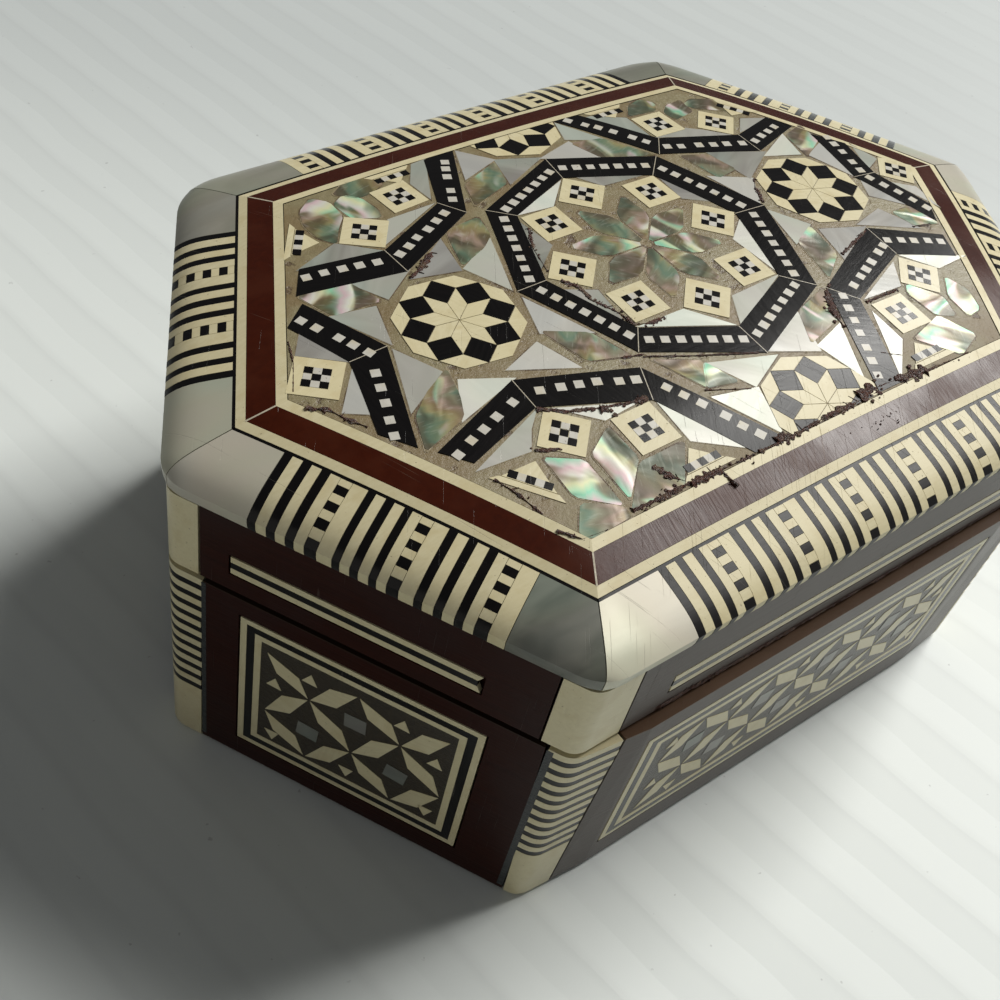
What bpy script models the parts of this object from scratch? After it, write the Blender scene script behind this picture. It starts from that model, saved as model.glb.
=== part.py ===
"""Six-sided wooden box with a domed lid, inlaid with bone, black wood, pearl and abalone."""

import math

import bmesh
import bpy

MM = 0.001

# Outline of the box in plan: two long sides, four short ones, a corner at each end of the x axis.
HALF_LENGTH = 75.0
HALF_WIDTH = 49.5
HALF_LONG_SIDE = 47.0

# Heights
HEIGHT = 62.8
CASE_RIM = 38.9
LID_RIM = 39.9
BORDER_FOOT = 53.9
BORDER_EDGE_TOP = 55.8

# Walls
WALL = 5.5
FLOOR = 4.0
CEILING = 52.8
LIP_HEIGHT = 3.3
LIP_STEP = 3.1
REBATE_STEP = 2.8
FOOT_ROUNDING = 1.2
FOOT_EASE = 0.36
CUT_OVER = 1.0

# The case's long walls stand out past the corners, and lean out a little towards the rim.
PROUD_FOOT = 0.9
PROUD_RIM = 1.4
SWEEP = 11.5

# Lid top: a shallow dome, and a frame that slopes away from it.
DOME_X = 0.00051
DOME_Y = 0.00132
FIELD_EDGE = -14.39
INNER_LINE_EDGE = -12.96
BAND_EDGE = -9.38
OUTER_LINE_EDGE = -8.12
BORDER_REACH = 0.7
FRAME_DROPS = ((FIELD_EDGE, 0.0), (INNER_LINE_EDGE, 0.2), (BAND_EDGE, 0.64), (OUTER_LINE_EDGE, 0.97))
ROLL_LINEAR = 0.6
ROLL_POWER = 5

# Inlay
GAP = 0.3
BLOCK_ROOM = 0.5
VENEER = 1.8
GROOVE = 1.2
INLAY = 0.9
BORDER_LEDGE = 1.8
POST_DEPTH = 1.8
POST_ROUNDING = 3.0
SHORT_LEG = 4.5
LONG_LEG = 6.8
HIDDEN_LEG = 2.2
# Posts of the case that are cut to another reach: at the foot and at the rim.
POST_LEGS = {
    ("left", "left_front"): (4.7, 5.0),
    ("front_left", "left_front"): (2.2, 3.4),
    ("front_left", "front"): (5.2, 7.3),
}
PLAQUE_SHORT = 11.7
PLAQUE_LONG = 13.5
PANEL_DEPTH = 1.2
SHORT_PANEL_HEIGHTS = (5.6, 35.2)
LONG_PANEL_HEIGHTS = (6.8, 34.6)
SHORT_PANEL_HALF = 17.55
LONG_PANEL_HALF = 34.4
STRING_BOTTOM = 43.3
STRING_TOP = 46.5
SHORT_STRING_HALF = 17.2
LONG_STRING_HALF = 33.0
# The stringing of one side lies off its middle.
STRING_SHIFTS = {"left_front": -2.0}

# Star pattern of the field
PATTERN_X = 2.4
PATTERN_Y = 2.1
STRAP_OUTER = 24.1
STRAP_INNER = 18.6
STAR_REACH = 12.6
STAR_NOTCH = 6.7
STAR_SIDE = 3.5
GRID = 14.0
FIELD_LIMIT = 34.4

LONG_STEPS = 4

COLOURS = {
    "wood": (0.045, 0.018, 0.012),
    "red_wood": (0.11, 0.025, 0.012),
    "bone": (0.72, 0.66, 0.47),
    "striped": (0.36, 0.33, 0.25),
    "black_wood": (0.012, 0.011, 0.012),
    "pearl": (0.62, 0.60, 0.54),
    "abalone": (0.38, 0.44, 0.36),
    "putty": (0.30, 0.26, 0.18),
}

CORNERS = ("left", "front_left", "front_right", "right", "back_right", "back_left")
SIDES = ("left_front", "front", "right_front", "right_back", "back", "left_back")
LONG_SIDES = ("front", "back")


def clear_scene():
    for obj in list(bpy.data.objects):
        bpy.data.objects.remove(obj, do_unlink=True)


def material(name):
    found = bpy.data.materials.get(name)
    if found is None:
        found = bpy.data.materials.new(name)
        found.use_nodes = True
        found.node_tree.nodes["Principled BSDF"].inputs["Base Color"].default_value = (*COLOURS[name], 1.0)
        found.diffuse_color = (*COLOURS[name], 1.0)
    return found


def solid(name, points, faces, colour):
    """A closed body from points in millimetres."""
    mesh = bpy.data.meshes.new(name)
    mesh.from_pydata([(x * MM, y * MM, z * MM) for x, y, z in points], [], faces)
    body = bmesh.new()
    body.from_mesh(mesh)
    bmesh.ops.recalc_face_normals(body, faces=body.faces)
    body.to_mesh(mesh)
    body.free()
    obj = bpy.data.objects.new(name, mesh)
    bpy.context.scene.collection.objects.link(obj)
    mesh.materials.append(material(colour))
    return obj


def loft(name, rings, colour, closed=False):
    """Skins a row of rings with the same number of points. A closed row runs back to its first ring."""
    count = len(rings[0])
    points = [point for ring in rings for point in ring]
    faces = []
    for row in range(len(rings) if closed else len(rings) - 1):
        after = (row + 1) % len(rings)
        for k in range(count):
            k_next = (k + 1) % count
            faces.append((row * count + k, row * count + k_next, after * count + k_next, after * count + k))
    if not closed:
        faces.append(tuple(reversed(range(count))))
        faces.append(tuple(range((len(rings) - 1) * count, len(rings) * count)))
    return solid(name, points, faces, colour)


def cut(body, cutter):
    """Takes the cutter's shape out of the body, and the cutter out of the scene."""
    modifier = body.modifiers.new("cut", "BOOLEAN")
    modifier.operation = "DIFFERENCE"
    modifier.solver = "EXACT"
    modifier.object = cutter
    graph = bpy.context.evaluated_depsgraph_get()
    mesh = bpy.data.meshes.new_from_object(body.evaluated_get(graph))
    body.modifiers.clear()
    body.data = mesh
    bpy.data.objects.remove(cutter, do_unlink=True)


# Plan of the box


def slope_of_short_side():
    return math.atan2(HALF_LENGTH - HALF_LONG_SIDE, HALF_WIDTH)


def hexagon(offset):
    """The six corners of the outline, moved out by an offset from every side."""
    slope = slope_of_short_side()
    tip = HALF_LENGTH + offset / math.cos(slope)
    width = HALF_WIDTH + offset
    long_side = tip - width * math.tan(slope)
    return [
        (-tip, 0.0),
        (-long_side, -width),
        (long_side, -width),
        (tip, 0.0),
        (long_side, width),
        (-long_side, width),
    ]


def side_axes(side):
    """Middle of a side, its direction and its outward normal."""
    index = SIDES.index(side)
    corners = hexagon(0.0)
    x0, y0 = corners[index]
    x1, y1 = corners[(index + 1) % 6]
    length = math.hypot(x1 - x0, y1 - y0)
    along = ((x1 - x0) / length, (y1 - y0) / length)
    return ((x0 + x1) / 2, (y0 + y1) / 2), along, (along[1], -along[0])


def on_side(side, distance, offset):
    """Plan point at a distance along a side from its middle, and an offset out from it."""
    middle, along, out = side_axes(side)
    return (
        middle[0] + along[0] * distance + out[0] * offset,
        middle[1] + along[1] * distance + out[1] * offset,
    )


def corner_distance(side, end, offset):
    """Distance from a side's middle to its mitre, at an offset."""
    middle, along, _ = side_axes(side)
    corners = hexagon(offset)
    x, y = corners[(SIDES.index(side) + end) % 6]
    return (x - middle[0]) * along[0] + (y - middle[1]) * along[1]


def case_face(side, distance, offset, z):
    """Plan point on a side of the case, at a height."""
    if side in LONG_SIDES:
        reach = HALF_LONG_SIDE - abs(distance)
        proud = PROUD_FOOT + (PROUD_RIM - PROUD_FOOT) * z / CASE_RIM
        offset += proud * min(1.0, max(0.0, reach / SWEEP))
    return on_side(side, distance, offset)


def case_ring(offset, z, outside):
    """Outline of the case at a height: its outer face, or a plain hexagon for the inside."""
    ring = []
    for corner, side in zip(hexagon(offset), SIDES):
        ring.append((*corner, z))
        if side in LONG_SIDES:
            flat = HALF_LONG_SIDE - SWEEP
            for distance in (-flat, flat):
                point = case_face(side, distance, offset, z) if outside else on_side(side, distance, offset)
                ring.append((*point, z))
    return ring


def divided_hexagon(offset):
    corners = hexagon(offset)
    ring = []
    for index in range(6):
        x0, y0 = corners[index]
        x1, y1 = corners[(index + 1) % 6]
        for step in range(LONG_STEPS):
            t = step / LONG_STEPS
            ring.append((x0 + (x1 - x0) * t, y0 + (y1 - y0) * t))
    return ring


# Shape of the lid's top


def dome(x, y):
    return HEIGHT - DOME_X * x * x - DOME_Y * y * y


def frame_drop(offset):
    for (low, low_drop), (high, high_drop) in zip(FRAME_DROPS, FRAME_DROPS[1:]):
        if offset <= high:
            return low_drop + (high_drop - low_drop) * max(0.0, offset - low) / (high - low)
    return FRAME_DROPS[-1][1]


def lid_top(point, offset, line_point):
    """Height of the lid's face over a plan point. The line point is its neighbour on the outer bone line."""
    if offset <= OUTER_LINE_EDGE:
        return dome(*point) - frame_drop(offset)
    line_height = dome(*line_point) - FRAME_DROPS[-1][1]
    share = min(1.0, (offset - OUTER_LINE_EDGE) / (BORDER_REACH - OUTER_LINE_EDGE))
    fall = ROLL_LINEAR * share + (1 - ROLL_LINEAR) * share**ROLL_POWER
    return line_height + (BORDER_EDGE_TOP - line_height) * fall


def top_ring(offset, depth):
    """A ring of the hexagon, at a depth under the lid's face."""
    line = divided_hexagon(OUTER_LINE_EDGE)
    return [
        (x, y, lid_top((x, y), offset, line_point) - depth)
        for (x, y), line_point in zip(divided_hexagon(offset), line)
    ]


def level_ring(offset, z):
    return [(x, y, z) for x, y in divided_hexagon(offset)]


# Wooden case and lid


def make_case():
    outside = [
        (-FOOT_ROUNDING, 0.0),
        (-FOOT_EASE, FOOT_EASE),
        (0.0, FOOT_ROUNDING),
        (0.0, CASE_RIM),
    ]
    inside = [
        (-LIP_STEP, CASE_RIM),
        (-LIP_STEP, CASE_RIM + LIP_HEIGHT),
        (-WALL, CASE_RIM + LIP_HEIGHT),
        (-WALL, FLOOR),
    ]
    rings = [case_ring(offset, z, True) for offset, z in outside]
    rings += [case_ring(offset, z, False) for offset, z in inside]
    case = loft("base_case", rings, "wood")
    for corner in CORNERS:
        cut(case, corner_piece("post_notch", corner, "wood", (-CUT_OVER, CASE_RIM + GAP), GAP, True))
    for side in SIDES:
        cut(case, side_block("recess", side, *panel_plan(side), PANEL_DEPTH, "wood", GAP, True))


def make_lid():
    depth = VENEER + GAP
    inner = -BORDER_LEDGE + BORDER_REACH - GAP
    shoulder = BORDER_FOOT - GAP
    rebate = CASE_RIM + LIP_HEIGHT + GAP
    offsets = (-43.0, -34.0, -24.0, FIELD_EDGE, OUTER_LINE_EDGE, -4.5, inner)
    rings = [top_ring(offset, depth) for offset in offsets]
    rings += [
        level_ring(inner, shoulder),
        level_ring(0.0, shoulder),
        level_ring(0.0, LID_RIM),
        level_ring(-REBATE_STEP, LID_RIM),
        level_ring(-REBATE_STEP, rebate),
        level_ring(-WALL, rebate),
        level_ring(-WALL, CEILING),
    ]
    lid = loft("lid_case", rings, "wood")
    for corner in CORNERS:
        heights = (LID_RIM - CUT_OVER, shoulder + BLOCK_ROOM)
        cut(lid, corner_piece("block_notch", corner, "wood", heights, GAP, False))
    for side in SIDES:
        cut(lid, side_block("groove", side, *string_plan(side), INLAY, "wood", GAP, False))


# Inlays on the sides


def panel_plan(side):
    """Ends and heights of the panel in a side of the case."""
    if side in LONG_SIDES:
        return (-LONG_PANEL_HALF, LONG_PANEL_HALF), LONG_PANEL_HEIGHTS
    return (-SHORT_PANEL_HALF, SHORT_PANEL_HALF), SHORT_PANEL_HEIGHTS


def string_plan(side):
    """Ends and heights of the stringing in a side of the lid."""
    half = LONG_STRING_HALF if side in LONG_SIDES else SHORT_STRING_HALF
    shift = STRING_SHIFTS.get(side, 0.0)
    return (shift - half, shift + half), (STRING_BOTTOM, STRING_TOP)


def side_block(name, side, ends, heights, depth, colour, margin, on_case):
    """A flat block let into a side. A margin makes the cutter that leaves a gap round it."""
    outer = CUT_OVER if margin else 0.0
    inner = -depth - margin
    rings = []
    for z in (heights[0] - margin, heights[1] + margin):
        ring = []
        low = ends[0] - margin
        high = ends[1] + margin
        for distance, offset in ((low, outer), (high, outer), (high, inner), (low, inner)):
            if on_case:
                ring.append((*case_face(side, distance, offset, z), z))
            else:
                ring.append((*on_side(side, distance, offset), z))
        rings.append(ring)
    return loft(name, rings, colour)


def leg(corner, side, z, on_case):
    """Reach of a corner piece along one of its two sides, at a height."""
    if on_case and (corner, side) in POST_LEGS:
        at_foot, at_rim = POST_LEGS[corner, side]
        return at_foot + (at_rim - at_foot) * z / CASE_RIM
    if side not in LONG_SIDES:
        return SHORT_LEG
    return HIDDEN_LEG if (corner, side) == ("front_right", "front") else LONG_LEG


def corner_ring(corner, z, inset, margin, on_case):
    """Bent outline of a corner piece at a height, with its outer edge rounded."""
    index = CORNERS.index(corner)
    before = SIDES[index - 1]
    after = SIDES[index]
    outer = CUT_OVER + PROUD_RIM if margin else -inset
    inner = -POST_DEPTH - margin

    def face(side, distance, offset):
        return case_face(side, distance, offset, z) if on_case else on_side(side, distance, offset)

    end_before = corner_distance(before, 1, 0.0) - leg(corner, before, z, on_case) - margin
    end_after = corner_distance(after, 0, 0.0) + leg(corner, after, z, on_case) + margin
    plan = [on_side(before, end_before, inner), face(before, end_before, outer)]
    tip = hexagon(outer)[index]
    if margin:
        plan.append(tip)
    else:
        rounding = POST_ROUNDING * math.tan(math.radians(30))
        start = face(before, corner_distance(before, 1, outer) - rounding, outer)
        end = face(after, corner_distance(after, 0, outer) + rounding, outer)
        for t in (0.0, 1 / 3, 2 / 3, 1.0):
            plan.append(
                tuple(start[k] * (1 - t) ** 2 + 2 * tip[k] * t * (1 - t) + end[k] * t**2 for k in (0, 1))
            )
    plan += [face(after, end_after, outer), on_side(after, end_after, inner), hexagon(inner)[index]]
    return [(x, y, z) for x, y in plan]


def corner_piece(name, corner, colour, heights, margin, on_case):
    """A bent piece round a corner. A post of the case has its foot rounded."""
    bottom, top = heights
    levels = [(bottom, 0.0), (top, 0.0)]
    if on_case and not margin:
        levels = [(bottom, FOOT_ROUNDING), (bottom + FOOT_EASE, FOOT_EASE)]
        levels += [(bottom + FOOT_ROUNDING, 0.0), (top, 0.0)]
    return loft(name, [corner_ring(corner, z, inset, margin, on_case) for z, inset in levels], colour)


def make_side_inlays():
    for side in SIDES:
        side_block("side_panel_" + side, side, *panel_plan(side), PANEL_DEPTH, "striped", 0.0, True)
        side_block("lid_stringing_" + side, side, *string_plan(side), INLAY, "striped", 0.0, False)
    for corner in CORNERS:
        corner_piece("base_corner_" + corner, corner, "striped", (0.0, CASE_RIM), 0.0, True)
        corner_piece("lid_corner_" + corner, corner, "bone", (LID_RIM, BORDER_FOOT - 2 * GAP), 0.0, False)


# Border and frame of the lid


def border_section(side, place):
    """Closed outline of the border at one place: a fixed distance along the side, or a mitre (0 or 1)."""
    kind, value = place

    def at(offset):
        if kind == "along":
            return value
        gap = GAP / 2 if value == 0 else -GAP / 2
        return corner_distance(side, value, offset) + gap

    line_point = on_side(side, at(OUTER_LINE_EDGE), OUTER_LINE_EDGE)
    start = OUTER_LINE_EDGE + GAP / 2
    ledge = BORDER_REACH - BORDER_LEDGE
    outline = []
    for offset in (start, -5.0, -2.5, -0.8, 0.25, BORDER_REACH):
        point = on_side(side, at(offset), offset)
        outline.append((*point, lid_top(point, offset, line_point)))
    for offset in (BORDER_REACH - 0.15, ledge):
        outline.append((*on_side(side, at(offset), offset), BORDER_FOOT))
    for offset in (ledge, -4.5, start):
        point = on_side(side, at(offset), offset)
        outline.append((*point, lid_top(point, offset, line_point) - VENEER))
    return outline


def border_strip(name, side, places, colour):
    loft(name, [border_section(side, place) for place in places], colour)


def make_border():
    for side in SIDES:
        plaque = PLAQUE_LONG if side in LONG_SIDES else PLAQUE_SHORT
        first = corner_distance(side, 0, 0.0) + plaque
        last = corner_distance(side, 1, 0.0) - plaque
        half_gap = GAP / 2
        border_strip(f"border_pearl_{side}_1", side, [("mitre", 0), ("along", first - half_gap)], "pearl")
        border_strip(f"border_pearl_{side}_2", side, [("along", last + half_gap), ("mitre", 1)], "pearl")
        low, high = first + half_gap, last - half_gap
        places = [("along", low + (high - low) * step / LONG_STEPS) for step in range(LONG_STEPS + 1)]
        border_strip("border_stripes_" + side, side, places, "striped")


def make_frame():
    lines = (
        ("inner_bone_line", FIELD_EDGE, INNER_LINE_EDGE, "bone"),
        ("red_band", INNER_LINE_EDGE, BAND_EDGE, "red_wood"),
        ("outer_bone_line", BAND_EDGE, OUTER_LINE_EDGE, "bone"),
    )
    for name, inner, outer, colour in lines:
        low, high = inner + GAP / 2, outer - GAP / 2
        rings = [top_ring(low, 0.0), top_ring(high, 0.0), top_ring(high, VENEER), top_ring(low, VENEER)]
        loft(name, rings, colour, closed=True)


# Field of the lid


def curve_to_dome(obj):
    """Cuts a flat slab along a square grid and lays it on the dome."""
    body = bmesh.new()
    body.from_mesh(obj.data)
    bmesh.ops.triangulate(body, faces=body.faces)
    for axis, reach in ((0, HALF_LENGTH), (1, HALF_WIDTH)):
        normal = (1, 0, 0) if axis == 0 else (0, 1, 0)
        steps = int(reach / GRID)
        for step in range(-steps, steps + 1):
            geometry = body.verts[:] + body.edges[:] + body.faces[:]
            point = tuple(component * step * GRID * MM for component in normal)
            bmesh.ops.bisect_plane(body, geom=geometry, plane_co=point, plane_no=normal, dist=1e-7)
    for vert in body.verts:
        vert.co.z += dome(vert.co.x / MM, vert.co.y / MM) * MM
    bmesh.ops.triangulate(body, faces=body.faces)
    body.to_mesh(obj.data)
    body.free()


def slab(name, outline, low, high, colour):
    """A flat plate with this outline, in millimetres from the dome's face."""
    return loft(name, [[(x, y, z) for x, y in outline] for z in (low, high)], colour)


def polygon(radius, count, turn=0.0, centre=(0.0, 0.0)):
    return [
        (
            centre[0] + radius * math.cos(math.radians(turn) + 2 * math.pi * k / count),
            centre[1] + radius * math.sin(math.radians(turn) + 2 * math.pi * k / count),
        )
        for k in range(count)
    ]


def grown(outline, margin):
    """The outline with each edge moved out by a margin."""
    count = len(outline)
    area = sum(
        outline[k][0] * outline[(k + 1) % count][1] - outline[(k + 1) % count][0] * outline[k][1]
        for k in range(count)
    )
    turn = 1.0 if area > 0 else -1.0
    result = []
    for k in range(count):
        x0, y0 = outline[k - 1]
        x1, y1 = outline[k]
        x2, y2 = outline[(k + 1) % count]
        before = math.atan2(y1 - y0, x1 - x0)
        after = math.atan2(y2 - y1, x2 - x1)
        normal = (math.sin(before) + math.sin(after), -math.cos(before) - math.cos(after))
        length = 1 + math.cos(after - before)
        result.append((x1 + turn * margin * normal[0] / length, y1 + turn * margin * normal[1] / length))
    return result


def strap_outlines():
    """Pieces of the neighbouring octagons, as the frame cuts them off."""
    return {
        "strap_left_back": [
            (-47.9, 15.9), (-32.1, 13.0), (-16.9, 20.3), (-8.8, FIELD_LIMIT),
            (-14.3, FIELD_LIMIT), (-19.3, 24.3), (-32.3, 18.5), (-44.6, 20.7),
        ],
        "strap_right_back": [
            (47.6, 17.2), (36.9, 13.6), (20.4, 19.6), (12.3, FIELD_LIMIT),
            (16.9, FIELD_LIMIT), (23.5, 23.5), (37.1, 18.9), (45.3, 21.2),
        ],
        "strap_left_front": [
            (-47.3, -16.0), (-32.2, -10.7), (-15.6, -16.7), (-6.0, -FIELD_LIMIT),
            (-11.5, -FIELD_LIMIT), (-17.9, -22.0), (-32.3, -16.0), (-44.3, -19.6),
        ],
        "strap_right_front": [
            (48.8, -15.0), (37.6, -8.8), (20.6, -16.4), (12.6, -FIELD_LIMIT),
            (17.0, -FIELD_LIMIT), (23.5, -20.4), (37.3, -15.4), (46.4, -19.4),
        ],
        "strap_left": [
            (-47.9, 14.3), (-42.7, 1.9), (-48.9, -14.4),
            (-52.0, -10.2), (-48.5, 1.8), (-51.3, 11.2),
        ],
        "strap_right": [
            (49.1, 14.0), (46.7, 1.8), (50.4, -12.4),
            (52.8, -8.4), (51.2, 1.4), (52.1, 9.8),
        ],
    }


def star_medallion(x, y, turn):
    """Outline of a round star tile: eight squares and eight rhombi round an eight-pointed star."""
    square_reach = (1 + math.sqrt(2)) * STAR_SIDE
    rhomb_reach = 2 * square_reach * math.cos(math.radians(22.5)) - 2 * STAR_SIDE * math.cos(math.radians(22.5))
    outline = []
    for k in range(16):
        radius = square_reach if k % 2 == 0 else rhomb_reach
        angle = math.radians(turn + 22.5 * k)
        outline.append((x + radius * math.cos(angle), y + radius * math.sin(angle)))
    return outline


def cut_at(outline, limit):
    """Keeps the part of a convex outline that lies inside a y limit (front if it is below zero)."""
    sign = 1.0 if limit > 0 else -1.0
    kept = []
    for (x0, y0), (x1, y1) in zip(outline, outline[1:] + outline[:1]):
        inside0 = sign * y0 <= sign * limit
        inside1 = sign * y1 <= sign * limit
        if inside0:
            kept.append((x0, y0))
        if inside0 != inside1:
            t = (limit - y0) / (y1 - y0)
            kept.append((x0 + (x1 - x0) * t, limit))
    return kept


def medallion_outlines():
    return {
        "medallion_left": star_medallion(-31.7, 1.5, 36.6),
        "medallion_right": star_medallion(37.0, 2.1, 28.0),
        "medallion_back": cut_at(star_medallion(2.6, 37.0, 22.5), FIELD_LIMIT),
        "medallion_front": cut_at(star_medallion(3.2, -33.0, 22.5), -FIELD_LIMIT),
    }


def abalone_star_outline():
    """Eight kites that meet in the middle of the octagon."""
    points = []
    for k in range(16):
        radius = STAR_NOTCH if k % 2 == 0 else STAR_REACH
        angle = math.radians(22.5 * k)
        points.append((PATTERN_X + radius * math.cos(angle), PATTERN_Y + radius * math.sin(angle)))
    return points


def octagon_ring(name, inner, outer, low, high, colour):
    centre = (PATTERN_X, PATTERN_Y)
    rings = [
        [(x, y, z) for x, y in polygon(radius, 8, 0.0, centre)]
        for radius, z in ((inner, low), (outer, low), (outer, high), (inner, high))
    ]
    return loft(name, rings, colour, closed=True)


def make_field():
    bed = slab("mosaic_bed", hexagon(FIELD_EDGE - GAP / 2), -VENEER, 0.0, "putty")
    cut(bed, octagon_ring("groove", STRAP_INNER - GAP, STRAP_OUTER + GAP, -GROOVE, 1.0, "putty"))
    pieces = [octagon_ring("octagon_strap", STRAP_INNER, STRAP_OUTER, -INLAY, 0.0, "black_wood")]
    inlays = [(name, outline, "black_wood") for name, outline in strap_outlines().items()]
    inlays += [(name, outline, "bone") for name, outline in medallion_outlines().items()]
    inlays.append(("abalone_star", abalone_star_outline(), "abalone"))
    for name, outline, colour in inlays:
        cut(bed, slab("groove", grown(outline, GAP), -GROOVE, 1.0, "putty"))
        pieces.append(slab(name, outline, -INLAY, 0.0, colour))
    for piece in [bed, *pieces]:
        curve_to_dome(piece)


clear_scene()
make_case()
make_lid()
make_side_inlays()
make_border()
make_frame()
make_field()
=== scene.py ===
"""A six-sided box with a domed lift-off lid, inlaid with bone, black wood, pearl and abalone."""

import math
import random

import bmesh
import bpy
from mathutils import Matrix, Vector


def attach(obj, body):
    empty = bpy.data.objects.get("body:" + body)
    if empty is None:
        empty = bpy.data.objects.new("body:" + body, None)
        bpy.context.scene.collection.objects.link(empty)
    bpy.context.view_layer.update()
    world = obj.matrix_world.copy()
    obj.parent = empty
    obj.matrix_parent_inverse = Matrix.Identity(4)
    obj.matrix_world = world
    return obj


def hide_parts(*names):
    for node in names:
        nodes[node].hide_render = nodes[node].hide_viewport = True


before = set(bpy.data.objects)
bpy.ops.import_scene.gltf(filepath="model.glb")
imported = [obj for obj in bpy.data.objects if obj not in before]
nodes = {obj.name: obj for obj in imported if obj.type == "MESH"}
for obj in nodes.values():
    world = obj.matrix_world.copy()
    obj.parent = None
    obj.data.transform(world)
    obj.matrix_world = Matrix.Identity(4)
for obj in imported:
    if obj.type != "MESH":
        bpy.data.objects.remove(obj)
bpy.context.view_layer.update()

# The view: a hand-held camera over the front left corner, looking down across the lid.
# One broad window stands to the right, low enough to gloss the front border, and the room is dim.

camera_data = bpy.data.cameras.new("camera")
camera_data.lens = 46.03
camera_data.sensor_width = 36.0
camera_data.shift_x = 0.0741
camera_data.shift_y = -0.0137
camera_data.clip_start = 0.01
camera = bpy.data.objects.new("camera", camera_data)
camera.location = (-0.11904, -0.09369, 0.17106)
camera.rotation_euler = [math.radians(a) for a in (41.8437, -7.1527, -34.499)]
bpy.context.scene.collection.objects.link(camera)
bpy.context.scene.camera = camera
bpy.context.scene.view_settings.view_transform = "Standard"


def hang_light(name, bearing, height, distance, size, power, colour):
    """An area light at a compass bearing and height in degrees, aimed at the box."""
    data = bpy.data.lights.new(name, "AREA")
    data.shape = "RECTANGLE"
    data.size, data.size_y = size
    data.energy = power
    data.color = colour
    light = bpy.data.objects.new(name, data)
    flat = distance * math.cos(math.radians(height))
    light.location = (
        flat * math.cos(math.radians(bearing)),
        flat * math.sin(math.radians(bearing)),
        distance * math.sin(math.radians(height)) + 0.04,
    )
    light.rotation_euler = (math.radians(90 - height), 0.0, math.radians(bearing + 90))
    bpy.context.scene.collection.objects.link(light)


hang_light("window", 3, 44, 2.5, (1.15, 1.2), 90.0, (1.0, 0.985, 0.95))
hang_light("room", 200, 25, 1.3, (1.2, 0.9), 1.2, (1.0, 0.95, 0.86))

world = bpy.data.worlds.new("room")
world.use_nodes = True
world.node_tree.nodes["Background"].inputs["Color"].default_value = (0.94, 0.97, 1.0, 1.0)
world.node_tree.nodes["Background"].inputs["Strength"].default_value = 0.1
bpy.context.scene.world = world

# The floor: a pale painted board, almost white, with faint broad ribs under its paint.
# Its finish, as all the others here, is written as sums on node sockets.

MM = 0.001


class Term:
    """A value in a finish, with arithmetic that adds Math nodes."""

    def __init__(self, finish, socket):
        self.finish = finish
        self.socket = socket

    def math(self, operation, *others):
        return self.finish.node("ShaderNodeMath", {"operation": operation}, (self, *others))

    def __add__(self, other):
        return self.math("ADD", other)

    def __sub__(self, other):
        return self.math("SUBTRACT", other)

    def __mul__(self, other):
        return self.math("MULTIPLY", other)

    def __rsub__(self, other):
        return (self * -1.0) + other

    __radd__ = __add__
    __rmul__ = __mul__

    def above(self, level, softness):
        """0 below the level, 1 above it, with a soft edge between."""
        settings = {"interpolation_type": "SMOOTHSTEP"}
        values = (self, level - softness, level + softness, 0.0, 1.0)
        return self.finish.node("ShaderNodeMapRange", settings, values)

    def size(self):
        return self.math("ABSOLUTE")


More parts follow.
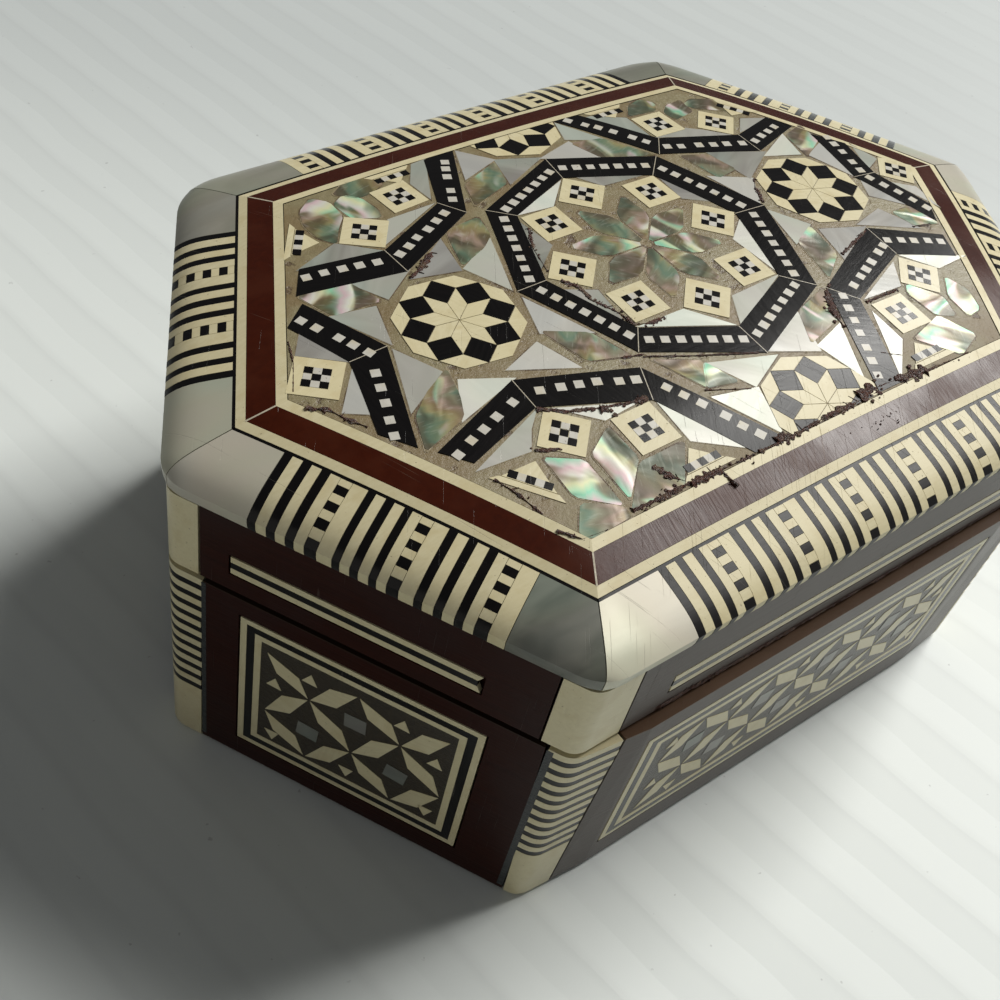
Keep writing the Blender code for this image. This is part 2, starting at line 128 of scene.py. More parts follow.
class Finish:
    """One material and its node tree."""

    def __init__(self, name):
        self.material = bpy.data.materials.new(name)
        self.material.use_nodes = True
        self.tree = self.material.node_tree
        self.shader = self.tree.nodes["Principled BSDF"]

    def node(self, kind, settings, values, output=0):
        made = self.tree.nodes.new(kind)
        for key, value in settings.items():
            setattr(made, key, value)
        for key, value in values.items() if isinstance(values, dict) else enumerate(values):
            self.put(made.inputs[key], value)
        return Term(self, made.outputs[output])

    def put(self, socket, value):
        if isinstance(value, Term):
            self.tree.links.new(value.socket, socket)
        elif hasattr(value, "__len__") and len(value) == 3 and socket.type == "RGBA":
            socket.default_value = (*value, 1.0)
        else:
            socket.default_value = value

    def place(self, scale=(1.0, 1.0, 1.0), turn=0.0, source=None):
        """A position in millimetres, stretched and turned."""
        if source is None:
            at = self.node("ShaderNodeTexCoord", {}, (), 3)
            unit = 1 / MM
        else:
            at = self.node("ShaderNodeAttribute", {"attribute_name": source}, (), 1)
            unit = 1.0
        turned = self.node("ShaderNodeMapping", {}, {"Vector": at, "Rotation": (0.0, 0.0, turn)})
        return self.node(
            "ShaderNodeMapping", {}, {"Vector": turned, "Scale": tuple(unit * s for s in scale)}
        )

    def axis(self, index):
        """One coordinate of the position, in millimetres."""
        return self.node("ShaderNodeSeparateXYZ", {}, (self.place(),), index)

    def noise(self, place, scale, detail=3.0, rough=0.5, warp=0.0):
        values = {"Vector": place, "Scale": scale, "Detail": detail, "Roughness": rough, "Distortion": warp}
        return self.node("ShaderNodeTexNoise", {}, values)

    def given(self, name):
        """A number carried by each tile."""
        return self.node("ShaderNodeAttribute", {"attribute_name": name}, (), 2)

    def blend(self, share, low, high, way="MIX"):
        settings = {"data_type": "RGBA", "blend_type": way}
        return self.node("ShaderNodeMix", settings, {0: share, 6: low, 7: high}, 2)

    def ramp(self, value, stops):
        made = self.tree.nodes.new("ShaderNodeValToRGB")
        elements = made.color_ramp.elements
        while len(elements) < len(stops):
            elements.new(0.5)
        for element, (place, colour) in zip(elements, stops):
            element.position = place
            element.color = (*colour, 1.0)
        self.put(made.inputs[0], value)
        return Term(self, made.outputs[0])

    def relief(self, height, depth):
        """A bump of so many millimetres."""
        return self.node("ShaderNodeBump", {}, {"Height": height, "Distance": depth * MM, "Strength": 1.0})

    def scratches(self, density):
        """Hair-fine scratches in two directions, gathered in patches."""
        first = self.noise(self.place((7.0, 0.07, 0.07), 0.6), 1.0, 1.0)
        second = self.noise(self.place((0.06, 6.0, 0.08), 1.14), 1.0, 1.0)
        # The lid's front left corner is rubbed too.
        east, north = self.axis(0) + 39.0, self.axis(1) + 47.0
        near_corner = 1.0 - (east * east + north * north).above(160.0, 110.0)
        rubbed = self.worn().math("MAXIMUM", near_corner * self.axis(2).above(45.0, 3.0))
        patches = (self.noise(self.place(), 0.13, 2.0) + rubbed * 0.12).above(0.56 - 0.12 * density, 0.08)
        lines = (first + rubbed * 0.045).above(0.755, 0.02) + (second + rubbed * 0.03).above(0.76, 0.02)
        return lines * patches

    def worn(self):
        """1 on the front of the lid's top, where hands have rubbed the lacquer dull."""
        front = (1.0 - self.axis(1).above(-29.0, 9.0)) * self.axis(0).above(-41.0, 2.0)
        return front * self.axis(2).above(53.5, 0.4)

    def done(self, colour, roughness, normal=None, **constants):
        self.put(self.shader.inputs["Base Color"], colour)
        self.put(self.shader.inputs["Roughness"], roughness)
        if normal is not None:
            self.put(self.shader.inputs["Normal"], normal)
        for name, value in constants.items():
            self.put(self.shader.inputs[name.replace("_", " ")], value)
        return self.material


def painted_board():
    f = Finish("painted_board")
    # Shallow ribs, about twelve millimetres apart.
    ribs = f.node("ShaderNodeTexWave", {"wave_profile": "TRI"}, (f.place(turn=-0.18), 0.026, 1.2, 2.0))
    dust = f.noise(f.place(), 0.5, 3.0)
    # Painted shade: the board is painted darker further out towards the back right, where the light falls
    # off.
    painted_falloff = (f.axis(0) * 0.67 + f.axis(1) * 0.74).above(85.0, 75.0)
    colour = f.blend(painted_falloff, (0.665, 0.70, 0.68), (0.49, 0.52, 0.515))
    # Painted shade: the board is painted a little darker along each rib's crest.
    colour = f.blend(ribs.above(0.85, 0.15) * 0.1, colour, (0.36, 0.37, 0.37))
    colour = f.blend(dust.above(0.74, 0.02) * 0.4, colour, (0.25, 0.25, 0.25))
    return f.done(colour, 0.5, f.relief(ribs, 0.12), Specular_IOR_Level=0.3)


floor_mesh = bpy.data.meshes.new("floor")
reach = 1.5
floor_corners = [(-reach, -reach, 0.0), (reach, -reach, 0.0), (reach, reach, 0.0), (-reach, reach, 0.0)]
floor_mesh.from_pydata(floor_corners, [], [(0, 1, 2, 3)])
floor = bpy.data.objects.new("floor", floor_mesh)
floor_mesh.materials.append(painted_board())
bpy.context.scene.collection.objects.link(floor)

# The case and the lid: solid wood, six walls each, veneered and stained dark red-brown, then lacquered.
# The lid lifts off over an inner lip; its long walls stand a little inside those of the case.

HALF_LENGTH = 75.0
HALF_WIDTH = 49.5
HALF_LONG_SIDE = 47.0
HEIGHT = 62.8
FLOOR = 4.0
CASE_RIM = 38.9
LID_RIM = 39.9
CEILING = 52.8
BORDER_FOOT = 53.9
CORNERS = ("left", "front_left", "front_right", "right", "back_right", "back_left")
SIDES = ("left_front", "front", "right_front", "right_back", "back", "left_back")
LONG_SIDES = ("front", "back")
# How much the slanted sides come in along x for each millimetre along y.
SLANT = (HALF_LENGTH - HALF_LONG_SIDE) / HALF_WIDTH


def dark_lacquer():
    f = Finish("dark_lacquer")
    x, y, z = f.axis(0), f.axis(1), f.axis(2)
    grain = f.noise(f.place((0.05, 0.05, 1.6)), 1.0, 5.0, 0.65, 0.6)
    cloud = f.noise(f.place(), 0.09, 3.0)
    colour = f.blend(grain, (0.008, 0.0016, 0.0007), (0.037, 0.0068, 0.0030))
    colour = f.blend(cloud.above(0.55, 0.12) * 0.5, colour, (0.022, 0.009, 0.008))
    scuffs = f.scratches(0.5)
    colour = f.blend(scuffs * 0.25, colour, (0.16, 0.13, 0.115))
    # Bare wood shows on the rim of the case and inside, and a strip of veneer is gone from it in front.
    bare = f.blend(grain, (0.055, 0.030, 0.016), (0.15, 0.092, 0.060))
    from_middle = x.size() + y.size() * SLANT
    # Painted shade: on the slanted walls the bare rim is painted nearly black, for the shadow in the gap
    # under the lid.
    slant_shade = from_middle.above(HALF_LENGTH - 1.6, 0.5) * (1.0 - y.size().above(HALF_WIDTH - 2.0, 0.5))
    bare = f.blend(slant_shade * 0.85, bare, (0.010, 0.005, 0.003))
    on_rim = z.above(CASE_RIM - 0.25, 0.1) * (1.0 - z.above(LID_RIM + 0.02, 0.02))
    inside = (1.0 - z.above(CEILING + 0.1, 0.05)) * (1.0 - from_middle.above(HALF_LENGTH - 5.7, 0.1))
    inside = inside * (1.0 - y.size().above(HALF_WIDTH - 4.3, 0.1)) * z.above(FLOOR - 0.1, 0.05)
    colour = f.blend(on_rim.math("MAXIMUM", inside), colour, bare)
    # The front wall is painted a pale grey haze all over: partly fine rubbing, partly a painted reflection
    # of the pale floor's sheen.
    front_haze_and_sheen = (1.0 - y.above(1.6 - HALF_WIDTH, 0.3)) * (1.0 - on_rim)
    colour = f.blend(front_haze_and_sheen * (0.09 + cloud * 0.12), colour, (0.50, 0.50, 0.46))
    # The lower edge of the lid's front has lost its veneer from the post onwards, in a ragged line.
    ragged = f.noise(f.place((0.35, 0.35, 0.35)), 1.0, 5.0, 0.7)
    low = 1.0 - (z - ragged * 1.6).above(LID_RIM + 0.2, 0.12)
    on_front = (1.0 - y.above(0.6 - HALF_WIDTH, 0.1)) * x.above(-34.5, 0.4) * z.above(LID_RIM - 0.1, 0.05)
    torn = low * on_front
    colour = f.blend(torn, colour, (0.028, 0.010, 0.006))
    height = grain * 0.3 - scuffs * 0.3 - torn * 3.0 + ragged * torn * 3.0
    return f.done(colour, 0.24 + cloud * 0.14, f.relief(height, 0.12), Specular_IOR_Level=0.09)


dark_wood = dark_lacquer()
for name in ("base_case", "lid_case"):
    nodes[name].data.materials.clear()
    nodes[name].data.materials.append(dark_wood)


def hexagon(offset):
    """The six corners of the outline, moved out from every side by an offset."""
    slope = math.atan(SLANT)
    tip = HALF_LENGTH + offset / math.cos(slope)
    width = HALF_WIDTH + offset
    long_side = tip - width * math.tan(slope)
    front = [(-tip, 0.0), (-long_side, -width), (long_side, -width)]
    return front + [(-x, -y) for x, y in front]


def side_axes(side):
    """The middle of a side, the way along it and the way out from it."""
    index = SIDES.index(side)
    corners = hexagon(0.0)
    x0, y0 = corners[index]
    x1, y1 = corners[(index + 1) % 6]
    length = math.hypot(x1 - x0, y1 - y0)
    along = ((x1 - x0) / length, (y1 - y0) / length)
    return ((x0 + x1) / 2, (y0 + y1) / 2), along, (along[1], -along[0])


def on_side(side, distance, offset):
    """A point at a distance along a side from its middle, and at an offset out from it."""
    middle, along, out = side_axes(side)
    return tuple(middle[k] + along[k] * distance + out[k] * offset for k in (0, 1))


def corner_distance(side, end, offset):
    """How far along a side its first (0) or last (1) corner lies, on the outline with that offset."""
    middle, along, _ = side_axes(side)
    x, y = hexagon(offset)[(SIDES.index(side) + end) % 6]
    return (x - middle[0]) * along[0] + (y - middle[1]) * along[1]


# The corner posts of the case: eleven leaves of bone and eleven of black wood, stacked and bent
# round the edge, over a plain bone foot. They are glued into a notch and filed flush.

POST_DEPTH = 1.8
PROUD_FOOT = 0.9
PROUD_RIM = 1.4
SWEEP = 11.5
SHORT_LEG = 4.5
LONG_LEG = 6.8
HIDDEN_LEG = 2.2
POST_LEGS = {
    ("left", "left_front"): (4.7, 5.0),
    ("front_left", "left_front"): (2.2, 3.4),
    ("front_left", "front"): (5.2, 7.3),
}
CORNER_ROUNDING = 1.73
FOOT_ROUNDING = 1.2
POST_STEPS = 11
POST_STEP = 2.358
BONE_LEAF = 1.25
BLACK_SUNK = 0.04


def case_face(side, distance, offset, z):
    """A point on the case's outer face, whose long walls swell out between the corners."""
    if side in LONG_SIDES:
        proud = PROUD_FOOT + (PROUD_RIM - PROUD_FOOT) * z / CASE_RIM
        offset += proud * min(1.0, max(0.0, (HALF_LONG_SIDE - abs(distance)) / SWEEP))
    return on_side(side, distance, offset)


def corner_ring(corner, z, inset, on_case, shorter=(0.0, 0.0)):
    """The bent outline of a corner piece at a height. Shorter takes a little off its two ends."""
    index = CORNERS.index(corner)
    before, after = SIDES[index - 1], SIDES[index]

    def face(side, distance, offset):
        return case_face(side, distance, offset, z) if on_case else on_side(side, distance, offset)

    def leg(side):
        if on_case and (corner, side) in POST_LEGS:
            at_foot, at_rim = POST_LEGS[corner, side]
            return at_foot + (at_rim - at_foot) * z / CASE_RIM
        if side not in LONG_SIDES:
            return SHORT_LEG
        return HIDDEN_LEG if (corner, side) == ("front_right", "front") else LONG_LEG

    end_before = corner_distance(before, 1, 0.0) - leg(before) + shorter[0]
    end_after = corner_distance(after, 0, 0.0) + leg(after) - shorter[1]
    start = face(before, corner_distance(before, 1, -inset) - CORNER_ROUNDING, -inset)
    end = face(after, corner_distance(after, 0, -inset) + CORNER_ROUNDING, -inset)
    tip = hexagon(-inset)[index]
    plan = [on_side(before, end_before, -POST_DEPTH), face(before, end_before, -inset)]
    for step in range(9):
        t = step / 8
        weights = ((1 - t) ** 2, 2 * t * (1 - t), t**2)
        plan.append(tuple(sum(w * p[k] for w, p in zip(weights, (start, tip, end))) for k in (0, 1)))
    plan += [face(after, end_after, -inset), on_side(after, end_after, -POST_DEPTH)]
    plan.append(hexagon(-POST_DEPTH)[index])
    return [(x, y, z) for x, y in plan]


class Inlay:
    """Gathers the closed leaves and tiles of one material into one mesh."""

    def __init__(self):
        self.points, self.faces, self.tone, self.tint, self.leaf = [], [], [], [], []
        self.dice = random.Random(7)

    def carry(self, count, tone, tint, leaf):
        """Notes for every point its shade, its hue and its place in the leaf it was cut from."""
        self.tone += [tone] * count
        self.tint += [tint] * count
        self.leaf += leaf

    def loft(self, rings, tone=None, tint=0.5):
        """Skins a row of rings and closes both ends."""
        first, count = len(self.points), len(rings[0])
        shift = [self.dice.uniform(0, 90) for _ in range(3)]
        tone = self.dice.random() if tone is None else tone
        for ring in rings:
            self.points += ring
            self.carry(count, tone, tint, [tuple(p + s for p, s in zip(point, shift)) for point in ring])
        last = first + (len(rings) - 1) * count
        for here in range(first, last, count):
            there = here + count
            for k in range(count):
                k_next = (k + 1) % count
                self.faces.append((here + k, here + k_next, there + k_next, there + k))
        self.faces.append(tuple(first + k for k in reversed(range(count))))
        self.faces.append(tuple(last + k for k in range(count)))

    def tile(self, outline, place, thickness, tone=None, tint=0.5, grid=0.0, lift=0.0):
        """A flat tile with this outline, laid by place(u, v, depth). A grid cuts it small enough to bend."""
        body = bmesh.new()
        body.faces.new([body.verts.new((u, v, 0.0)) for u, v in outline])
        for axis in (0, 1) if grid else ():
            low, high = min(p[axis] for p in outline), max(p[axis] for p in outline)
            for step in range(math.ceil(low / grid), math.floor(high / grid) + 1):
                centre, normal = [0.0, 0.0, 0.0], [0.0, 0.0, 0.0]
                centre[axis], normal[axis] = step * grid, 1.0
                geometry = body.verts[:] + body.edges[:] + body.faces[:]
                bmesh.ops.bisect_plane(body, geom=geometry, plane_co=centre, plane_no=normal, dist=1e-5)
        bmesh.ops.recalc_face_normals(body, faces=body.faces)
        if sum(face.normal.z for face in body.faces) < 0:
            bmesh.ops.reverse_faces(body, faces=body.faces)
        body.verts.index_update()
        first, count = len(self.points), len(body.verts)
        turn = self.dice.uniform(0, math.tau)
        shift = [self.dice.uniform(0, 90) for _ in range(3)]
        leaf = [
            (
                v.co.x * math.cos(turn) + v.co.y * math.sin(turn) + shift[0],
                v.co.y * math.cos(turn) - v.co.x * math.sin(turn) + shift[1],
                shift[2],
            )
            for v in body.verts
        ]
        tone = self.dice.random() if tone is None else tone
        for depth in (-lift, thickness):
            self.points += [place(v.co.x, v.co.y, depth) for v in body.verts]
            self.carry(count, tone, tint, leaf)
        for face in body.faces:
            ring = [v.index for v in face.verts]
            self.faces.append(tuple(first + k for k in ring))
            self.faces.append(tuple(first + count + k for k in reversed(ring)))
        for edge in body.edges:
            if edge.is_boundary:
                a, b = edge.verts
                loop = edge.link_loops[0]
                if loop.vert != a:
                    a, b = b, a
                ends = (first + a.index, first + count + a.index, first + count + b.index, first + b.index)
                self.faces.append(ends)
        body.free()

    def piece(self, name, material, slot, replaced=()):
        """Makes one object of all that was gathered, riding on the box."""
        mesh = bpy.data.meshes.new(name)
        mesh.from_pydata([tuple(c * MM for c in p) for p in self.points], [], self.faces)
        body = bmesh.new()
        body.from_mesh(mesh)
        bmesh.ops.recalc_face_normals(body, faces=body.faces)
        body.to_mesh(mesh)
        body.free()
        mesh.attributes.new("tone", "FLOAT", "POINT").data.foreach_set("value", self.tone)
        mesh.attributes.new("tint", "FLOAT", "POINT").data.foreach_set("value", self.tint)
        mesh.attributes.new("leaf", "FLOAT_VECTOR", "POINT").data.foreach_set(
            "vector", [c for vector in self.leaf for c in vector]
        )
        mesh.shade_smooth()
        mesh.set_sharp_from_angle(angle=math.radians(28))
        mesh.materials.append(material)
        obj = bpy.data.objects.new(name, mesh)
        bpy.context.scene.collection.objects.link(obj)
        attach(obj, "root")
        if replaced:
            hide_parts(*replaced)


def polished_bone(name, carried=True, pale=False):
    """Cream bone: long pale fibres, a few dark pores, yellowed lacquer and fine scratches."""
    f = Finish(name)
    at = f.place((0.35, 2.2, 2.2), 0.0, "leaf") if carried else f.place((0.9, 0.9, 0.9))
    fibre = f.noise(at, 1.0, 4.0, 0.6)
    cloud = f.noise(f.place(), 0.35, 3.0)
    if pale:
        colour = f.blend(fibre, (0.42, 0.40, 0.34), (0.60, 0.58, 0.52))
    else:
        colour = f.blend(fibre, (0.50, 0.44, 0.255), (0.69, 0.63, 0.425))
    if carried:
        colour = f.blend(f.given("tone") * 0.5, colour, (0.62, 0.545, 0.325))
    colour = f.blend(cloud.above(0.6, 0.1) * 0.35, colour, (0.50, 0.41, 0.21))
    pores = f.noise(f.place(), 2.6, 2.0).above(0.735, 0.02)
    scuffs = f.scratches(0.35)
    colour = f.blend(pores * 0.5, colour, (0.16, 0.11, 0.06))
    colour = f.blend(scuffs * 0.22, colour, (0.30, 0.25, 0.16))
    height = fibre * 0.15 - pores * 0.6 - scuffs * 0.4
    roughness = 0.26 + fibre * 0.12 + f.worn() * 0.22
    return f.done(colour, roughness, f.relief(height, 0.06), Specular_IOR_Level=0.5)


def polished_black():
    """Black dyed wood under clear lacquer, faintly brown in its grain."""
    f = Finish("polished_black")
    grain = f.noise(f.place((0.25, 2.4, 2.4), 0.0, "leaf"), 1.0, 4.0, 0.6)
    scuffs = f.scratches(0.45)
    colour = f.blend(grain, (0.0018, 0.0017, 0.0019), (0.0062, 0.005, 0.0046))
    colour = f.blend(scuffs * 0.3, colour, (0.14, 0.13, 0.11))
    roughness = 0.14 + grain * 0.1 + f.worn() * 0.27
    return f.done(colour, roughness, f.relief(grain * 0.25 - scuffs * 0.4, 0.05), Specular_IOR_Level=0.27)


bone = polished_bone("polished_bone")
black = polished_black()

post_bone, post_black = Inlay(), Inlay()
for corner in CORNERS:
    foot_top = CASE_RIM - POST_STEPS * POST_STEP
    rounded = [(0.0, FOOT_ROUNDING), (0.16, 0.75), (0.36, 0.36), (0.72, 0.1), (FOOT_ROUNDING, 0.0)]
    post_bone.loft([corner_ring(corner, z, inset, True) for z, inset in rounded + [(foot_top, 0.0)]], 0.6)
    for step in range(POST_STEPS):
        top = CASE_RIM - step * POST_STEP
        split, low = top - BONE_LEAF, top - POST_STEP
        end = post_bone.dice.uniform(-0.1, 0.2)
        start = post_bone.dice.uniform(-0.1, 0.15)
        post_bone.loft([corner_ring(corner, z, 0.0, True, (start, end)) for z in (split, top)])
        post_black.loft([corner_ring(corner, z, BLACK_SUNK, True, (0.0, end * 0.5)) for z in (low, split)])
post_nodes = ["base_corner_" + corner for corner in CORNERS]
post_bone.piece("post_bone", bone, "bone", post_nodes)
post_black.piece("post_black", black, "black_wood", post_nodes)

# The lid's corner blocks: one plain bent block of bone at each corner, under the border. Each is glued
# into a notch in the lid's walls and filed round with them.

BLOCK_HEIGHTS = (LID_RIM, LID_RIM + 4.5, BORDER_FOOT - 4.5, BORDER_FOOT - 0.6)
lid_blocks = Inlay()
for corner in CORNERS:
    lid_blocks.loft([corner_ring(corner, z, 0.0, False) for z in BLOCK_HEIGHTS], 0.5)
lid_blocks.piece("lid_blocks", bone, "bone", ["lid_corner_" + corner for corner in CORNERS])

# Stringing on the lid's walls: a strip of black wood between two strips of bone, let in flush and
# cut a little unevenly at the right end.

STRING_HALF = {side: 33.0 if side in LONG_SIDES else 17.2 for side in SIDES}
STRING_SHIFT = {"left_front": -2.0}
STRING_THICKNESS = 0.8
string_bone, string_black = Inlay(), Inlay()
STRING_STRIPS = (
    # Heights at the left end, heights at the right end, and what the right end's two corners lack.
    (string_bone, (43.3, 44.3), (43.3, 44.35), (0.0, 0.5)),
    (string_black, (44.35, 45.4), (44.4, 45.45), (0.5, 0.6)),
    (string_bone, (45.45, 46.5), (45.5, 46.5), (0.6, 0.0)),
)


def wall_of(side, on_case):
    """A place(u, z, depth) for tiles on a wall."""

    def place(u, z, depth):
        point = case_face(side, u, -depth, z) if on_case else on_side(side, u, -depth)
        return (*point, z)

    return place


for side in SIDES:
    shift = STRING_SHIFT.get(side, 0.0)
    left, right = shift - STRING_HALF[side], shift + STRING_HALF[side]
    for strip, at_left, at_right, short in STRING_STRIPS:
        outline = [(left, at_left[0]), (right - short[0], at_right[0])]
        outline += [(right - short[1], at_right[1]), (left, at_left[1])]
        strip.tile(outline, wall_of(side, False), STRING_THICKNESS)
string_nodes = ["lid_stringing_" + side for side in SIDES]
string_bone.piece("stringing_bone", bone, "bone", string_nodes)
string_black.piece("stringing_black", black, "black_wood", string_nodes)

# The case's panels: one plate in each wall. A frame of bone, black and bone, mitred at its corners,
# holds a lattice of bone leaves and small pearl squares, bedded in dark filler.

SHORT_PANEL = (17.55, 5.6, 35.2)
LONG_PANEL = (34.4, 6.8, 34.6)
SHORT_LATTICE = (5, (-13.6, 6.85), (9.4, 16.2, 23.8, 30.2))
LONG_LATTICE = (10, (-29.6, 6.79), (10.9, 17.7, 24.3, 30.4))
PLATE_THICKNESS = 1.0
LATTICE_THICKNESS = 0.6
GROUND_INSET = 3.15
GROUND_SUNK = 0.06
LEAF_WIDTH = 3.5
SQUARE_ACROSS, SQUARE_UP = 2.3, 2.15


def box(u0, u1, v0, v1):
    return [(u0, v0), (u1, v0), (u1, v1), (u0, v1)]


def mitred_frame(inlay, place, half, low, high, inner, outer):
    """Four mitred strips, between two distances in from the plate's edge."""
    near, painted_falloff = (box(d - half, half - d, low + d, high - d) for d in (inner, outer))
    for k in range(4):
        n = (k + 1) % 4
        inlay.tile([near[k], near[n], painted_falloff[n], painted_falloff[k]], place, PLATE_THICKNESS)


def leaf_between(start, end, width):
    """A long pointed leaf between two crossings of the lattice."""
    dx, dy = end[0] - start[0], end[1] - start[1]
    length = math.hypot(dx, dy)
    ax, ay = dx / length, dy / length

    outline = ((0.03, 0.0), (0.42, -0.5), (0.97, 0.0), (0.58, 0.5))
    return [(start[0] + dx * t - ay * w * width, start[1] + dy * t + ax * w * width) for t, w in outline]


def dark_filler():
    f = Finish("dark_filler")
    grit = f.noise(f.place(), 1.3, 5.0, 0.7)
    colour = f.blend(grit, (0.006, 0.0045, 0.003), (0.05, 0.036, 0.018))
    return f.done(colour, 0.3, f.relief(grit, 0.1))


def nacre(name, low, high, bright, silk):
    """Mother-of-pearl: milky and smooth, with a faint pink and green play that runs in broad streaks."""
    f = Finish(name)
    tone, tint = f.given("tone"), f.given("tint")
    streak = f.noise(f.place((0.08, 0.3, 0.3), 0.0, "leaf"), 1.0, 2.0, 0.5, 0.6)
    play = f.noise(f.place((0.06, 0.1, 0.1), 0.0, "leaf"), 1.0, 1.0, 0.5, 0.4)
    colour = f.blend(tone, low, high)
    colour = f.blend(streak.above(0.5, 0.25) * silk, colour, bright)
    sheen = f.ramp(play * 0.9 + tint * 0.3 - 0.1, (
        (0.28, (0.50, 0.78, 0.66)), (0.42, (0.72, 0.78, 0.62)),
        (0.55, (0.82, 0.72, 0.74)), (0.72, (0.66, 0.66, 0.80)),
    ))
    colour = f.blend(0.16, colour, sheen, "OVERLAY")
    scuffs = f.scratches(0.5)
    colour = f.blend(scuffs * 0.25, colour, (0.30, 0.27, 0.24))
    normal = f.relief(streak * (0.5 * silk) + play * 2.0 * silk - scuffs * 0.08, 0.35)
    roughness = 0.26 + streak * 0.1 + f.worn() * 0.22
    return f.done(colour, roughness, normal, Metallic=0.1, Specular_IOR_Level=0.36)


filler = dark_filler()
pearl = nacre("pearl", (0.12, 0.12, 0.11), (0.34, 0.34, 0.31), (0.24, 0.24, 0.22), 0.4)

panel_bone, panel_black, panel_pearl, panel_ground = Inlay(), Inlay(), Inlay(), Inlay()
for side in SIDES:
    place = wall_of(side, True)
    long_panel = side in LONG_SIDES
    half, bottom, top = LONG_PANEL if long_panel else SHORT_PANEL
    columns, (first, step), heights = LONG_LATTICE if long_panel else SHORT_LATTICE
    mitred_frame(panel_bone, place, half, bottom, top, 0.0, 0.95)
    mitred_frame(panel_black, place, half, bottom, top, 1.0, 2.15)
    mitred_frame(panel_bone, place, half, bottom, top, 2.2, 3.2)
    ground = box(GROUND_INSET - half, half - GROUND_INSET, bottom + GROUND_INSET, top - GROUND_INSET)
    panel_ground.tile(ground, place, PLATE_THICKNESS, lift=-GROUND_SUNK)
    dice = panel_bone.dice
    crossings = {
        (column, row): (first + column * step + dice.uniform(-0.2, 0.2), z + dice.uniform(-0.2, 0.2))
        for column in range(columns)
        for row, z in enumerate(heights)
    }
    crossed = 0 if long_panel else 1
    for (column, row), (u, z) in crossings.items():
        if (column + row) % 2 == crossed:
            for step_u in (-1, 1):
                end = crossings.get((column + step_u, row + 1))
                if end:
                    # The bone's grain runs the other way in every second leaf, so it takes the light less:
                    # those leaves are painted darker and the others lighter, a painted shade and highlight.
                    tone = 0.85 if step_u < 0 else 0.15
                    leaf = leaf_between((u, z), end, LEAF_WIDTH * dice.uniform(0.92, 1.06))
                    panel_bone.tile(leaf, place, LATTICE_THICKNESS, tone)
        elif 0 < row < 3 and 0 < column < columns - 1:
            turn = dice.uniform(-0.15, 0.15) + math.pi / 4
            corners = [
                (u + SQUARE_ACROSS * math.cos(turn + a), z + SQUARE_UP * math.sin(turn + a))
                for a in (0.0, math.pi / 2, math.pi, 3 * math.pi / 2)
            ]
            tone = dice.uniform(0.2, 0.5) if long_panel else 0.12
            panel_pearl.tile(corners, place, LATTICE_THICKNESS, tone)
        else:
            # A small triangle fills each gap at the edge.
            u += {0: 1.6, columns - 1: -1.6}.get(column, 0.0)
            z += {0: 1.3, 3: -1.5}.get(row, 0.0)
            flip = -1 if row == 0 else 1
            triangle = [(u - 1.2, z - 0.9 * flip), (u + 1.1, z - 1.0 * flip), (u + 0.1, z + 1.2 * flip)]
            panel_bone.tile(triangle, place, LATTICE_THICKNESS)
panel_nodes = ["side_panel_" + side for side in SIDES]
panel_bone.piece("panel_bone", bone, "bone", panel_nodes)
panel_black.piece("panel_black", black, "black_wood", panel_nodes)
panel_pearl.piece("panel_pearl", pearl, "pearl", panel_nodes)
panel_ground.piece("panel_ground", filler, "putty", panel_nodes)

# Two dark bluish grey strips stand between the posts and the brown wood of the case's left front
# wall, from the foot to just under the rim.


def grey_strip_finish():
    f = Finish("grey_strip_finish")
    grain = f.noise(f.place((0.05, 0.05, 1.4)), 1.0, 4.0, 0.6)
    colour = f.blend(grain, (0.012, 0.0135, 0.014), (0.036, 0.040, 0.041))
    return f.done(colour, 0.26, f.relief(grain, 0.06), Specular_IOR_Level=0.4)


grey_strips = Inlay()
for left, right in ((-23.5, -22.8), (25.0, 25.9)):
    grey_strips.tile(box(left, right, 1.9, CASE_RIM - 0.3), wall_of("left_front", True), 0.6, lift=0.02)
grey_strips.piece("grey_strips", grey_strip_finish(), "wood")

# The lid's border: a sloping band that rolls over the edge. Each side has a pearl plaque at both ends,
# mitred at the corner, and between them groups of bone and black strips with a chequered column.

DOME_X = 0.00051
DOME_Y = 0.00132
FIELD_EDGE = -14.39
OUTER_LINE_EDGE = -8.12
BORDER_REACH = 0.7
BORDER_INNER = -7.72
BORDER_OUTER = 0.65
BORDER_EDGE_TOP = 55.8
FRAME_DROP = 0.97
# The slope of the border: so much of its fall is even, and the rest comes at the edge.
ROLL_LINEAR = 0.6
ROLL_POWER = 5
CORNER_RADII = (6.0, 6.0, 7.0, 7.0, 11.0, 11.0)
# Where the groups of strips start along each side, and where the last one ends, as the maker spaced them.
GROUPS = {
    "left_front": (-16.75, -5.5, 5.1, 16.6),
    "front": (-33.5, -22.2, -10.9, -0.1, 11.4, 22.7, 33.6),
    "right_front": (-16.6, -5.5, 5.6, 16.7),
    "right_back": (-16.7, -5.4, 5.4, 16.7),
    "back": (-34.1, -23.0, -12.3, -1.4, 8.8, 20.2, 31.2),
    "left_back": (-14.75, -3.2, 8.7, 15.1),
}
STRIPS = (1.05, 1.42, 1.08, 1.36, 1.08, 1.3, 1.62, 1.9)
CHEQUER = (BORDER_INNER, -6.8, -5.7, -4.6, -3.5, -2.4, -1.3, -0.2, BORDER_OUTER)
# Where the leaves bend over the edge, and how the edge goes on down and in under it.
ROLL = (BORDER_INNER, -6.5, -5.0, -3.6, -2.5, -1.6, -0.9, -0.35, 0.1, 0.42, 0.58)
UNDER_EDGE = ((0.25, 0.02), (1.2, 0.1), (1.9, 0.3))
PLAQUE_SHARES = (0.05, 0.1, 0.16, 0.23, 0.31, 0.4, 0.5)
PLAQUE_GAP = 0.06
MITRE_GAP = 0.08
STRIP_GAP = 0.03
